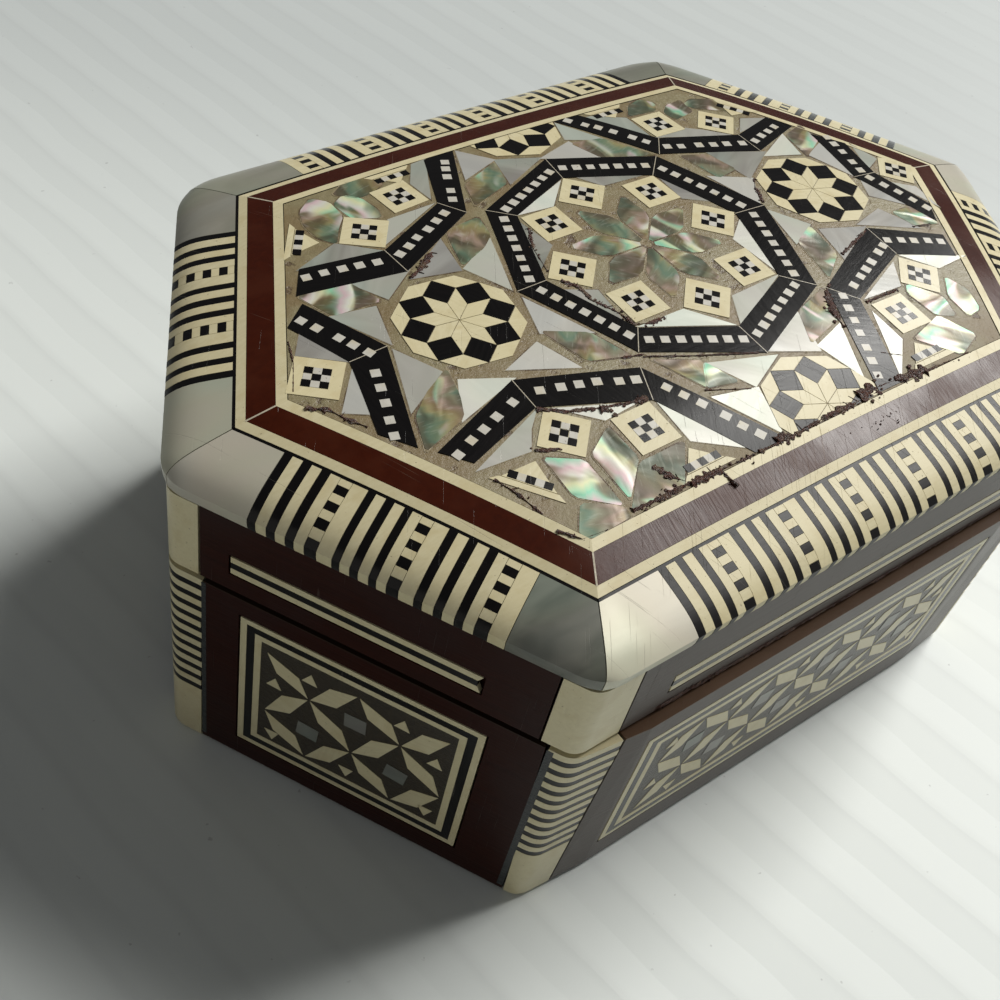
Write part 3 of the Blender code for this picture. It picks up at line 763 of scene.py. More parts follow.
# Shade and hue of the plaques that stand out, by side and end; the bright cream of the front side's plaque
# at the front left corner is a painted highlight.
PLAQUE_LOOK = {
    ("left_front", 0): (0.6, 0.6), ("left_front", 1): (0.0, 0.1), ("front", 0): (0.8, 0.45),
    ("left_back", 1): (0.5, 0.6), ("left_back", 0): (0.2, 0.5), ("back", 1): (0.2, 0.4),
    ("back", 0): (0.1, 0.4), ("right_back", 1): (0.12, 0.4),
}


def dome(x, y):
    """The height of the lid's domed top."""
    return HEIGHT - DOME_X * x * x - DOME_Y * y * y


def filed_round(x, y):
    """Files the corners of the lid round: a point near one moves in towards the middle of its arc."""
    corners = [Vector(corner) for corner in hexagon(BORDER_OUTER)]
    point = Vector((x, y))
    for k, radius in enumerate(CORNER_RADII):
        one = (corners[k - 1] - corners[k]).normalized()
        other = (corners[(k + 1) % 6] - corners[k]).normalized()
        inward = (one + other).normalized()
        spread = math.pi / 2 - one.angle(other) / 2
        middle = corners[k] + inward * radius / math.cos(spread)
        away = point - middle
        turn = away.angle(-inward, math.pi)
        if turn < spread:
            flat = math.cos(spread - turn)
            return middle + away * (1 - (1 - flat) * (away.length * flat / radius) ** 4)
    return point


def border_point(side, distance, offset, depth):
    """A point on the border. Distance is a number, or an end (0 or 1) whose mitre it follows, which may
    be followed by a share of the way from that mitre to a number."""

    def along(o):
        if isinstance(distance, tuple):
            corner = corner_distance(side, distance[0], o) + (-MITRE_GAP if distance[0] else MITRE_GAP)
            return corner + (distance[2] - corner) * distance[1] if len(distance) > 1 else corner
        return distance

    line = dome(*on_side(side, along(OUTER_LINE_EDGE), OUTER_LINE_EDGE)) - FRAME_DROP
    share = (offset - OUTER_LINE_EDGE) / (BORDER_REACH - OUTER_LINE_EDGE)
    z = line + (BORDER_EDGE_TOP - line) * (ROLL_LINEAR * share + (1 - ROLL_LINEAR) * share**ROLL_POWER)
    return (*filed_round(*on_side(side, along(offset), offset)), z - depth)


def along_side(side, offset, short):
    """Places from mitre to mitre, whose inner ones stop short of the corners."""
    reach = corner_distance(side, 1, offset) - short
    return [(0,)] + [reach * step / 6 for step in range(-6, 7)] + [(1,)]


def border_leaf(inlay, side, places, inner, outer, depth=0.0, tone=None, tint=0.5):
    """A leaf of the border between two offsets, through places along the side."""
    offsets = [inner] + [o for o in ROLL if inner + 0.05 < o < outer - 0.05] + [outer]
    over_edge = outer >= BORDER_OUTER
    rings = []
    for place in places:
        ring = [border_point(side, place, o, depth) for o in offsets]
        if over_edge:
            for drop, back in UNDER_EDGE:
                x, y, z = border_point(side, place, outer - back, 0.0)
                ring.append((x, y, BORDER_EDGE_TOP - drop))
            x, y, z = border_point(side, place, -0.9, 0.0)
            ring.append((x, y, BORDER_FOOT))
        ring += [border_point(side, place, o, 1.0) for o in reversed(offsets) if o < -0.6 or not over_edge]
        rings.append(ring)
    inlay.loft(rings, tone, tint)


border_bone, border_black, plaques, glue_line = Inlay(), Inlay(), Inlay(), Inlay()
for side in SIDES:
    groups = GROUPS[side]
    start, stop = groups[0] - PLAQUE_GAP, groups[-1] + PLAQUE_GAP
    first = [(0,)] + [(0, share, start) for share in PLAQUE_SHARES] + [start]
    last = [stop] + [(1, share, stop) for share in reversed(PLAQUE_SHARES)] + [(1,)]
    for end, places in ((0, first), (1, last)):
        tone, tint = PLAQUE_LOOK.get((side, end), (0.5, 0.5))
        border_leaf(plaques, side, places, BORDER_INNER, BORDER_OUTER, 0.0, tone, tint)
    places = along_side(side, OUTER_LINE_EDGE, 0.5)
    border_leaf(glue_line, side, places, OUTER_LINE_EDGE + 0.02, BORDER_INNER + 0.12, 0.07)
    dice = border_bone.dice
    for start, stop in zip(groups, groups[1:]):
        # A short last group keeps its first five strips and drops the rest.
        strips = STRIPS if stop - start > 8 else STRIPS[:5]
        strips = [width * dice.uniform(0.92, 1.08) for width in strips]
        scale = (stop - start) / sum(strips)
        edge = start
        for kind, width in enumerate(strips):
            places = [edge + STRIP_GAP, edge + width * scale - STRIP_GAP]
            edge += width * scale
            if kind in (0, 2, 4):
                border_leaf(border_black, side, places, BORDER_INNER + 0.02, BORDER_OUTER + 0.03, 0.02)
            elif kind != 6:
                border_leaf(border_bone, side, places, BORDER_INNER, BORDER_OUTER)
            else:
                for square in range(8):
                    inner = CHEQUER[square] + STRIP_GAP
                    outer = CHEQUER[square + 1] - (STRIP_GAP if square < 7 else 0.0)
                    border_leaf(border_black if square % 2 else border_bone, side, places, inner, outer)
border_nodes = ["border_stripes_" + side for side in SIDES]
border_bone.piece("border_bone", bone, "bone", border_nodes)
border_black.piece("border_black", black, "black_wood", border_nodes)
glue_line.piece("glue_line", black, "putty")
plaque_pearl = nacre("plaque_pearl", (0.10, 0.108, 0.09), (0.66, 0.62, 0.50), (0.40, 0.39, 0.33), 0.22)
plaque_nodes = [f"border_pearl_{side}_{end}" for side in SIDES for end in (1, 2)]
plaques.piece("plaques", plaque_pearl, "pearl", plaque_nodes)

# The frame round the field: a band of red-brown lacquered wood between two lines of bone,
# each mitred at the six corners, where a thin pale joint shows.

INNER_LINE_EDGE = -12.96
BAND_EDGE = -9.38
# How far each edge has fallen below the dome.
FRAME_DROPS = ((FIELD_EDGE, 0.0), (INNER_LINE_EDGE, 0.2), (BAND_EDGE, 0.64), (OUTER_LINE_EDGE, FRAME_DROP))
FRAME_GAP = 0.02
FRAME_THICKNESS = 0.9
GLUE_STRIPS = ((-14.38, -12.9), (-13.0, -9.3), (-9.4, -8.13))
MITRE_HALF_WIDTH = 0.11
MITRE_RISE = 0.01


def frame_point(side, distance, offset, depth):
    """A point on the flat frame, which falls away from the dome towards its edge."""
    if isinstance(distance, tuple):
        distance = corner_distance(side, distance[0], offset)
    x, y = on_side(side, distance, offset)
    for (inner, high), (outer, low) in zip(FRAME_DROPS, FRAME_DROPS[1:]):
        if offset <= outer + 1e-6:
            drop = high + (low - high) * (offset - inner) / (outer - inner)
            break
    return (x, y, dome(x, y) - drop - depth)


def frame_strip(inlay, side, inner, outer, depth=0.0, tone=None):
    """A strip of the frame, from mitre to mitre."""
    rings = []
    for place in along_side(side, inner, 0.4):
        ends = [frame_point(side, place, o, depth) for o in (inner, outer)]
        rings.append(ends + [(x, y, z - FRAME_THICKNESS) for x, y, z in reversed(ends)])
    inlay.loft(rings, tone)


def hairline(start, end, half_width):
    """The outline of a thin straight joint between two points."""
    (x0, y0), (x1, y1) = start, end
    length = math.hypot(x1 - x0, y1 - y0)
    wx, wy = (y0 - y1) / length * half_width, (x1 - x0) / length * half_width
    return [(x0 - wx, y0 - wy), (x0 + wx, y0 + wy), (x1 + wx, y1 + wy), (x1 - wx, y1 - wy)]


def red_lacquer():
    f = Finish("red_lacquer")
    grain = f.noise(f.place((0.9, 0.9, 0.9)), 1.0, 5.0, 0.65, 0.4)
    cloud = f.noise(f.place(), 0.12, 3.0)
    colour = f.blend(grain, (0.024, 0.0030, 0.0005), (0.052, 0.0074, 0.0010))
    colour = f.blend(cloud.above(0.55, 0.1) * 0.4, colour, (0.060, 0.014, 0.005))
    scuffs = f.scratches(0.6)
    colour = f.blend(scuffs * 0.3, colour, (0.25, 0.17, 0.12))
    # Rubbed across with something coarse in front, which leaves a fine comb of dull lines.
    patches = f.axis(0).above(-32.0, 5.0) * (0.35 + cloud.above(0.45, 0.2) * 0.65)
    comb = f.noise(f.place((3.2, 0.2, 0.3), 0.12), 1.0, 3.0).above(0.52, 0.12) * f.worn() * patches
    colour = f.blend(comb * 0.2, colour, (0.24, 0.19, 0.17))
    roughness = 0.16 + cloud * 0.1 + f.worn() * (0.08 + patches * 0.16) + comb * 0.08
    normal = f.relief(grain * 0.2 - scuffs * 0.4 + comb * 0.3, 0.06)
    return f.done(colour, roughness, normal, Specular_IOR_Level=0.26)


def mitre_joint():
    f = Finish("mitre_line")
    grit = f.noise(f.place(), 1.5, 3.0)
    colour = f.blend(grit, (0.30, 0.26, 0.18), (0.60, 0.55, 0.44))
    return f.done(colour, 0.3, f.relief(grit, 0.05))


frame_bone, frame_red, frame_glue, mitre_lines = Inlay(), Inlay(), Inlay(), Inlay()
for side in SIDES:
    frame_strip(frame_bone, side, FIELD_EDGE + FRAME_GAP, INNER_LINE_EDGE - FRAME_GAP, tone=0.5)
    frame_strip(frame_red, side, INNER_LINE_EDGE + FRAME_GAP, BAND_EDGE - FRAME_GAP)
    frame_strip(frame_bone, side, BAND_EDGE + FRAME_GAP, OUTER_LINE_EDGE - 0.03, tone=0.5)
    for inner, outer in GLUE_STRIPS:
        frame_strip(frame_glue, side, inner, outer, 0.06)
for start, end in zip(hexagon(-13.0), hexagon(-9.35)):
    line = hairline(start, end, MITRE_HALF_WIDTH)
    z0 = dome(*start) - FRAME_DROPS[1][1] + MITRE_RISE
    z1 = dome(*end) - FRAME_DROPS[2][1] + MITRE_RISE
    top = [(*line[k], z) for k, z in ((1, z0), (2, z1), (3, z1), (0, z0))]
    mitre_lines.loft([[(x, y, z - 0.5) for x, y, z in top], top])
frame_bone.piece("frame_bone", bone, "bone", ["inner_bone_line", "outer_bone_line"])
frame_red.piece("frame_red", red_lacquer(), "red_wood", ["red_band"])
frame_glue.piece("frame_glue", black, "putty")
pale_joint = mitre_joint()
mitre_lines.piece("mitre_lines", pale_joint, "bone")

# The field's bed: tan filler that all the tiles are pressed into, sanded with them and lacquered.

BED_DEPTH = 0.09


def tan_filler():
    f = Finish("tan_filler")
    grit = f.noise(f.place(), 1.1, 6.0, 0.7)
    cloud = f.noise(f.place(), 0.11, 4.0)
    colour = f.blend(grit, (0.15, 0.124, 0.060), (0.285, 0.245, 0.137))
    colour = f.blend(cloud.above(0.5, 0.12) * 0.7, colour, (0.17, 0.115, 0.05))
    dirt = f.noise(f.place(), 0.3, 5.0, 0.65).above(0.63, 0.05)
    colour = f.blend(dirt * 0.7, colour, (0.05, 0.022, 0.014))
    return f.done(colour, 0.3 + grit * 0.2 + f.worn() * 0.2, f.relief(grit - dirt * 0.5, 0.14))


def on_dome(x, y, depth):
    """A place(x, y, depth) for tiles on the field."""
    return (x, y, dome(x, y) - depth)


bed = Inlay()
bed.tile(hexagon(FIELD_EDGE - 0.1), on_dome, 1.2, grid=6.0, lift=-BED_DEPTH)
bed.piece("bed", tan_filler(), "putty", ["mosaic_bed"])

# The straps: black wood strips, mitred end to end into an octagon in the middle and into cut-off
# octagons round it, with a row of small bone squares let into them.

TILE = 0.5
SMALL_TILE = 0.4
JOINT = 0.05
JOINT_HALF_WIDTH = 0.055
SQUARE_SIDE = 1.3
# How many small squares stand on each side of the octagon.
OCTAGON_SQUARES = 7


def shrunk(outline, by):
    """The outline with each edge moved in."""
    area = sum(a[0] * b[1] - b[0] * a[1] for a, b in zip(outline, outline[1:] + outline[:1]))
    turn = 1.0 if area > 0 else -1.0
    moved = []
    for k, (x, y) in enumerate(outline):
        (x0, y0), (x2, y2) = outline[k - 1], outline[(k + 1) % len(outline)]
        before, after = math.atan2(y - y0, x - x0), math.atan2(y2 - y, x2 - x)
        length = max(0.25, 1 + math.cos(after - before))
        moved.append((
            x - turn * by * (math.sin(before) + math.sin(after)) / length,
            y + turn * by * (math.cos(before) + math.cos(after)) / length,
        ))
    return moved


STRAPS = (
    # Outer and inner edge of each, corner by corner.
    (
        [(2.5, 26.5), (19.3, 19.5), (26.0, 2.0), (19.5, -15.5), (2.4, -22.5), (-14.0, -14.5),
         (-21.3, 2.5), (-14.2, 19.5), (2.5, 26.5)],
        [(1.5, 21.0), (15.0, 15.5), (20.0, 2.3), (15.5, -11.5), (2.3, -16.8), (-11.0, -10.8),
         (-16.3, 2.5), (-10.8, 16.2), (1.5, 21.0)],
    ),
    ([(-47.9, 15.9), (-32.1, 13.0), (-16.9, 20.3), (-8.8, 35.0)],
     [(-44.6, 20.7), (-32.3, 18.5), (-19.3, 24.3), (-14.3, 35.0)]),
    ([(48.4, 17.3), (36.9, 13.6), (20.2, 19.7), (11.2, 35.0)],
     [(46.2, 21.4), (37.1, 18.9), (23.5, 23.5), (16.2, 35.0)]),
    ([(-47.3, -16.0), (-32.2, -10.7), (-15.6, -16.7), (-6.0, -34.8)],
     [(-44.3, -19.6), (-32.3, -16.0), (-17.9, -22.0), (-11.5, -34.8)]),
    ([(49.0, -15.0), (37.6, -8.8), (20.4, -16.4), (12.0, -34.8)],
     [(46.8, -19.6), (37.3, -15.4), (23.5, -20.4), (16.8, -34.8)]),
    ([(-47.9, 14.3), (-42.7, 1.9), (-48.9, -14.4)], [(-52.0, 11.2), (-48.5, 1.8), (-52.0, -10.2)]),
    ([(49.6, 14.4), (46.7, 1.8), (50.8, -12.4)], [(53.4, 9.8), (51.2, 1.4), (53.6, -8.4)]),
)
SQUARES = (
    # Middles of the small squares of the cut-off straps, set by hand and not quite evenly.
    (-44.7, 18.6), (-42.1, 18.3), (-39.5, 17.8), (-37.1, 17.3), (-34.6, 16.7), (-30.9, 16.7),
    (-28.8, 17.6), (-26.7, 18.7), (-24.2, 19.6), (-22.0, 20.7), (-19.9, 21.7), (-16.8, 24.0),
    (-15.7, 26.0), (-14.0, 29.3), (-12.9, 31.2), (-11.9, 32.8), (-49.8, 11.4), (-48.8, 9.2), (-47.3, 6.2),
    (-46.4, 4.2), (-45.4, 2.0), (-46.7, -1.5), (-47.5, -3.9), (-48.4, -6.4), (-49.5, -9.0),
    (-50.4, -11.4), (-45.3, -17.6), (-42.6, -16.5), (-40.2, -15.8), (-37.6, -14.9), (-34.4, -13.9),
    (-30.1, -13.9), (-27.3, -14.7), (-24.9, -15.4), (-22.5, -16.1), (-19.8, -17.4), (-17.6, -18.2),
    (-14.8, -21.1), (-13.6, -23.2), (-12.4, -25.4), (-10.9, -28.4), (-10.0, -30.7), (-8.8, -32.8),
    (14.2, -32.4), (15.5, -30.1), (16.7, -27.9), (18.0, -25.4), (19.2, -23.2), (20.3, -21.0),
    (21.5, -18.8), (24.9, -17.8), (27.5, -16.8), (29.6, -16.0), (31.8, -15.1), (34.7, -13.9),
    (36.7, -13.1), (38.5, -12.4), (40.8, -13.3), (42.8, -14.2), (45.1, -15.1), (47.1, -16.1),
    (13.4, 34.2), (15.1, 31.9), (16.5, 30.3), (17.9, 28.2), (19.6, 25.5), (20.8, 23.5), (23.0, 20.9),
    (25.2, 20.0), (28.3, 19.1), (30.7, 18.2), (33.0, 17.5), (35.7, 16.6), (38.4, 16.3), (40.7, 17.1),
    (42.9, 17.7), (45.1, 18.4), (51.6, 12.3), (51.2, 10.3), (50.7, 8.0), (49.9, 5.1), (49.3, 2.8),
    (49.1, 0.6), (49.9, -1.8), (50.8, -4.1), (51.5, -6.6), (52.2, -9.0),
)

straps, joints = Inlay(), Inlay()
strap_lines = []
for outer, inner in STRAPS:
    for k in range(len(outer) - 1):
        quad = [outer[k], outer[k + 1], inner[k + 1], inner[k]]
        straps.tile(shrunk(quad, JOINT), on_dome, TILE, grid=6.0)
        if 0 < k or outer[0] == outer[-1]:
            joints.tile(hairline(outer[k], inner[k], JOINT_HALF_WIDTH), on_dome, 0.3, lift=0.015)
        strap_lines.append(tuple(tuple((outer[n][i] + inner[n][i]) / 2 for i in (0, 1)) for n in (k, k + 1)))
strap_places = ("left_back", "right_back", "left_front", "right_front", "left", "right")
straps.piece("straps", black, "black_wood", ["octagon_strap"] + ["strap_" + place for place in strap_places])
joints.piece("strap_joints", pale_joint, "bone")


def heading(x, y):
    """The direction of the strap that runs past a point."""
    best = None
    for (x0, y0), (x1, y1) in strap_lines:
        dx, dy = x1 - x0, y1 - y0
        t = max(0.0, min(1.0, ((x - x0) * dx + (y - y0) * dy) / (dx * dx + dy * dy)))
        away = math.hypot(x - x0 - t * dx, y - y0 - t * dy)
        if best is None or away < best[0]:
            best = (away, math.atan2(dy, dx))
    return best[1]


def little_tiles(name, spots, side, lift, material):
    """Small square tiles that a node tree sets on the dome at each (x, y, turn), a little uneven in size."""
    mesh = bpy.data.meshes.new(name)
    mesh.from_pydata([(x * MM, y * MM, (dome(x, y) + lift) * MM) for x, y, _ in spots], [], [])
    turns = []
    for x, y, turn in spots:
        slope_x, slope_y = 2 * DOME_X * x, 2 * DOME_Y * y
        along = slope_x * math.cos(turn) + slope_y * math.sin(turn)
        across = slope_y * math.cos(turn) - slope_x * math.sin(turn)
        turns += [-across, along, turn]
    mesh.attributes.new("turn", "FLOAT_VECTOR", "POINT").data.foreach_set("vector", turns)
    obj = bpy.data.objects.new(name, mesh)
    bpy.context.scene.collection.objects.link(obj)

    tree = bpy.data.node_groups.new(name, "GeometryNodeTree")
    tree.interface.new_socket("Points", in_out="INPUT", socket_type="NodeSocketGeometry")
    sizes = {"Side": side * MM, "Thickness": SMALL_TILE * MM, "Play": 0.06}
    sockets = {
        key: tree.interface.new_socket(key, in_out="INPUT", socket_type="NodeSocketFloat") for key in sizes
    }
    tree.interface.new_socket("Tiles", in_out="OUTPUT", socket_type="NodeSocketGeometry")

    def add(kind, inputs, output=0, **settings):
        made = tree.nodes.new(kind)
        for key, value in settings.items():
            setattr(made, key, value)
        for key, value in inputs.items():
            if isinstance(value, bpy.types.NodeSocket):
                tree.links.new(value, made.inputs[key])
            else:
                made.inputs[key].default_value = value
        return made.outputs[output] if made.outputs else None

    given = tree.nodes.new("NodeGroupInput").outputs
    size = add("ShaderNodeCombineXYZ", {0: given["Side"], 1: given["Side"], 2: given["Thickness"]})
    tile = add("GeometryNodeMeshCube", {"Size": size})
    drop = add("ShaderNodeMath", {0: given["Thickness"], 1: -0.5}, operation="MULTIPLY")
    down = add("ShaderNodeCombineXYZ", {2: drop})
    set_down = add("GeometryNodeTransform", {"Geometry": tile, "Translation": down})
    turn = add("GeometryNodeInputNamedAttribute", {"Name": "turn"}, data_type="FLOAT_VECTOR")
    low = add("ShaderNodeMath", {0: 1.0, 1: given["Play"]}, operation="SUBTRACT")
    high = add("ShaderNodeMath", {0: 1.0, 1: given["Play"]}, operation="ADD")
    wobble = add("FunctionNodeRandomValue", {2: low, 3: high, "Seed": 11}, 1, data_type="FLOAT")
    rotation = add("FunctionNodeEulerToRotation", {0: turn})
    at_points = {"Points": given["Points"], "Instance": set_down, "Rotation": rotation, "Scale": wobble}
    spread = add("GeometryNodeInstanceOnPoints", at_points)
    real = add("GeometryNodeRealizeInstances", {"Geometry": spread})
    painted = add("GeometryNodeSetMaterial", {"Geometry": real, "Material": material})
    add("NodeGroupOutput", {"Tiles": painted})
    modifier = obj.modifiers.new("tiles", "NODES")
    modifier.node_group = tree
    for key, value in sizes.items():
        modifier[sockets[key].identifier] = value
    bpy.context.view_layer.update()
    made = bpy.data.meshes.new_from_object(obj.evaluated_get(bpy.context.evaluated_depsgraph_get()))
    obj.modifiers.clear()
    obj.data = made
    made.name = name
    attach(obj, "root")


small_bone = polished_bone("small_bone", carried=False, pale=True)
spots = [(x, y, heading(x, y)) for x, y in SQUARES]
for (x0, y0), (x1, y1) in strap_lines[:8]:
    for step in range(OCTAGON_SQUARES):
        t = (step + 0.62) / (OCTAGON_SQUARES + 0.3)
        spots.append((x0 + (x1 - x0) * t, y0 + (y1 - y0) * t, math.atan2(y1 - y0, x1 - x0)))
little_tiles("strap_squares", spots, SQUARE_SIDE, 0.02, small_bone)

# The star tiles: round medallions of eight bone rhombi, eight black squares and eight outer rhombi,
# and bone squares chequered with five black ones, all set one by one into the filler.

# The side of a rhombus, and how far out from the middle the star's points, the outer corners of its
# squares and the rim's corners lie, in sides.
STAR_SIDE = 3.5
STAR_POINT, STAR_SQUARE, STAR_RIM = 1.848, 1 + math.sqrt(2), 2.6
FIELD_LIMITS = (35.0, -34.9)
CHECK_PITCH = 1.16
BLACK_SIDE, WHITE_SIDE = 1.14, 1.1
MEDALLIONS = (
    # Name of the node, middle and turn.
    ("medallion_left", -31.7, 1.5, 36.6), ("medallion_right", 37.0, 2.1, 28.0),
    ("medallion_back", 2.6, 37.0, 22.5), ("medallion_front", 3.5, -33.0, 22.5),
)
CHECKS = (
    # Middle, turn and side.
    (1.5, 16.4, 45, 6.4), (11.7, 12.2, 0, 6.4), (15.6, 2.6, 45, 6.3), (12.1, -7.8, 0, 6.4),
    (2.2, -10.5, 45, 6.4), (-7.4, -6.7, 0, 6.4), (-11.4, 2.8, 45, 6.2), (-7.5, 12.4, 0, 6.4),
    (-32.4, 23.4, 52, 6.4), (-23.2, 28.4, 4, 6.2), (26.6, 27.0, 0, 6.3), (36.3, 23.4, 45, 5.9),
    (-31.7, -21.0, 45, 6.1), (-21.8, -25.2, 0, 6.5), (27.4, -25.1, 0, 6.3), (36.9, -20.3, 45, 6.0),
    (-53.5, 1.5, 50, 6.6), (55.6, 0.5, 45, 5.7),
)


def clipped(outline, limit):
    """The part of an outline that lies inside the frame's front or back line."""
    sign = 1.0 if limit > 0 else -1.0
    kept = []
    for (x0, y0), (x1, y1) in zip(outline, outline[1:] + outline[:1]):
        if sign * y0 <= sign * limit:
            kept.append((x0, y0))
        if (sign * y0 <= sign * limit) != (sign * y1 <= sign * limit):
            kept.append((x0 + (x1 - x0) * (limit - y0) / (y1 - y0), limit))
    return kept


def ray(x, y, radius, angle):
    """A point at a distance and an angle in degrees from another."""
    return (x + radius * math.cos(math.radians(angle)), y + radius * math.sin(math.radians(angle)))


star_bone, star_black = Inlay(), Inlay()
for name, x, y, turn in MEDALLIONS:
    pieces = []
    for k in range(8):
        a, s = turn + 45 * k, STAR_SIDE
        notch, next_notch = (ray(x, y, s, a + step) for step in (0, 45))
        tip, next_tip = (ray(x, y, STAR_POINT * s, a + step) for step in (-22.5, 22.5))
        corner, next_corner = (ray(x, y, STAR_SQUARE * s, a + step) for step in (0, 45))
        pieces.append((star_bone, [(x, y), notch, next_tip, next_notch]))
        pieces.append((star_black, [notch, tip, corner, next_tip]))
        pieces.append((star_bone, [next_tip, corner, ray(x, y, STAR_RIM * s, a + 22.5), next_corner]))
    for inlay, outline in pieces:
        for limit in FIELD_LIMITS:
            outline = clipped(outline, limit) if len(outline) > 2 else outline
        if len(outline) > 2:
            inlay.tile(shrunk(outline, 0.045), on_dome, TILE)
check_black, check_white = [], []
for x, y, turn, side in CHECKS:
    a, reach = math.radians(turn), side / math.sqrt(2)
    star_bone.tile([ray(x, y, reach, turn + 45 + 90 * k) for k in range(4)], on_dome, TILE)
    for i in (-1, 0, 1):
        for j in (-1, 0, 1):
            across, up = i * math.cos(a) - j * math.sin(a), i * math.sin(a) + j * math.cos(a)
            spot = (x + CHECK_PITCH * across, y + CHECK_PITCH * up, a)
            (check_white if (i + j) % 2 else check_black).append(spot)
medallion_nodes = [name for name, _, _, _ in MEDALLIONS]
star_bone.piece("star_bone", bone, "bone", medallion_nodes)
star_black.piece("star_black", black, "black_wood", medallion_nodes)
little_tiles("check_black", check_black, BLACK_SIDE, 0.02, black)
little_tiles("check_white", check_white, WHITE_SIDE, 0.015, small_bone)

# Half squares against the frame: offcuts of the chequered squares, a triangle of bone with one row of
# black and bone squares, and a bone strip along its cut edge.

HALF_CHECKS = (
    # Middle of the base, direction of the apex, length of the base, depth.
    (-21.2, 35.0, -90, 7.8, 3.7), (-43.0, 26.9, -36, 8.6, 4.6), (21.2, 35.0, -90, 8.0, 3.4),
    (44.1, 26.6, 214, 7.8, 4.2), (-41.2, -26.0, 39, 9.6, 4.8), (-18.8, -34.4, 90, 8.6, 4.2),
    (24.6, -34.2, 90, 8.8, 4.0),
)
HALF_PITCH = 1.12
half_bone = Inlay()
half_black, half_white = [], []
for x, y, turn, length, depth in HALF_CHECKS:
    a = math.radians(turn)

    def spot(across, inward):
        return (
            x + inward * math.cos(a) - across * math.sin(a),
            y + inward * math.sin(a) + across * math.cos(a),
        )

    half = length / 2
    edge_strip = [spot(-half, 0.1), spot(half, 0.1), spot(half * 0.78, 0.95), spot(-half * 0.78, 0.95)]
    half_bone.tile(edge_strip, on_dome, TILE)
    half_bone.tile([spot(-half * 0.72, 1.05), spot(half * 0.72, 1.05), spot(0.2, depth)], on_dome, TILE)
    for index in range(-2, 3):
        (half_white if index % 2 else half_black).append((*spot(index * HALF_PITCH, 1.75), a))
half_bone.piece("half_squares", bone, "bone")
little_tiles("half_black", half_black, BLACK_SIDE, 0.02, black)
little_tiles("half_white", half_white, WHITE_SIDE, 0.015, small_bone)
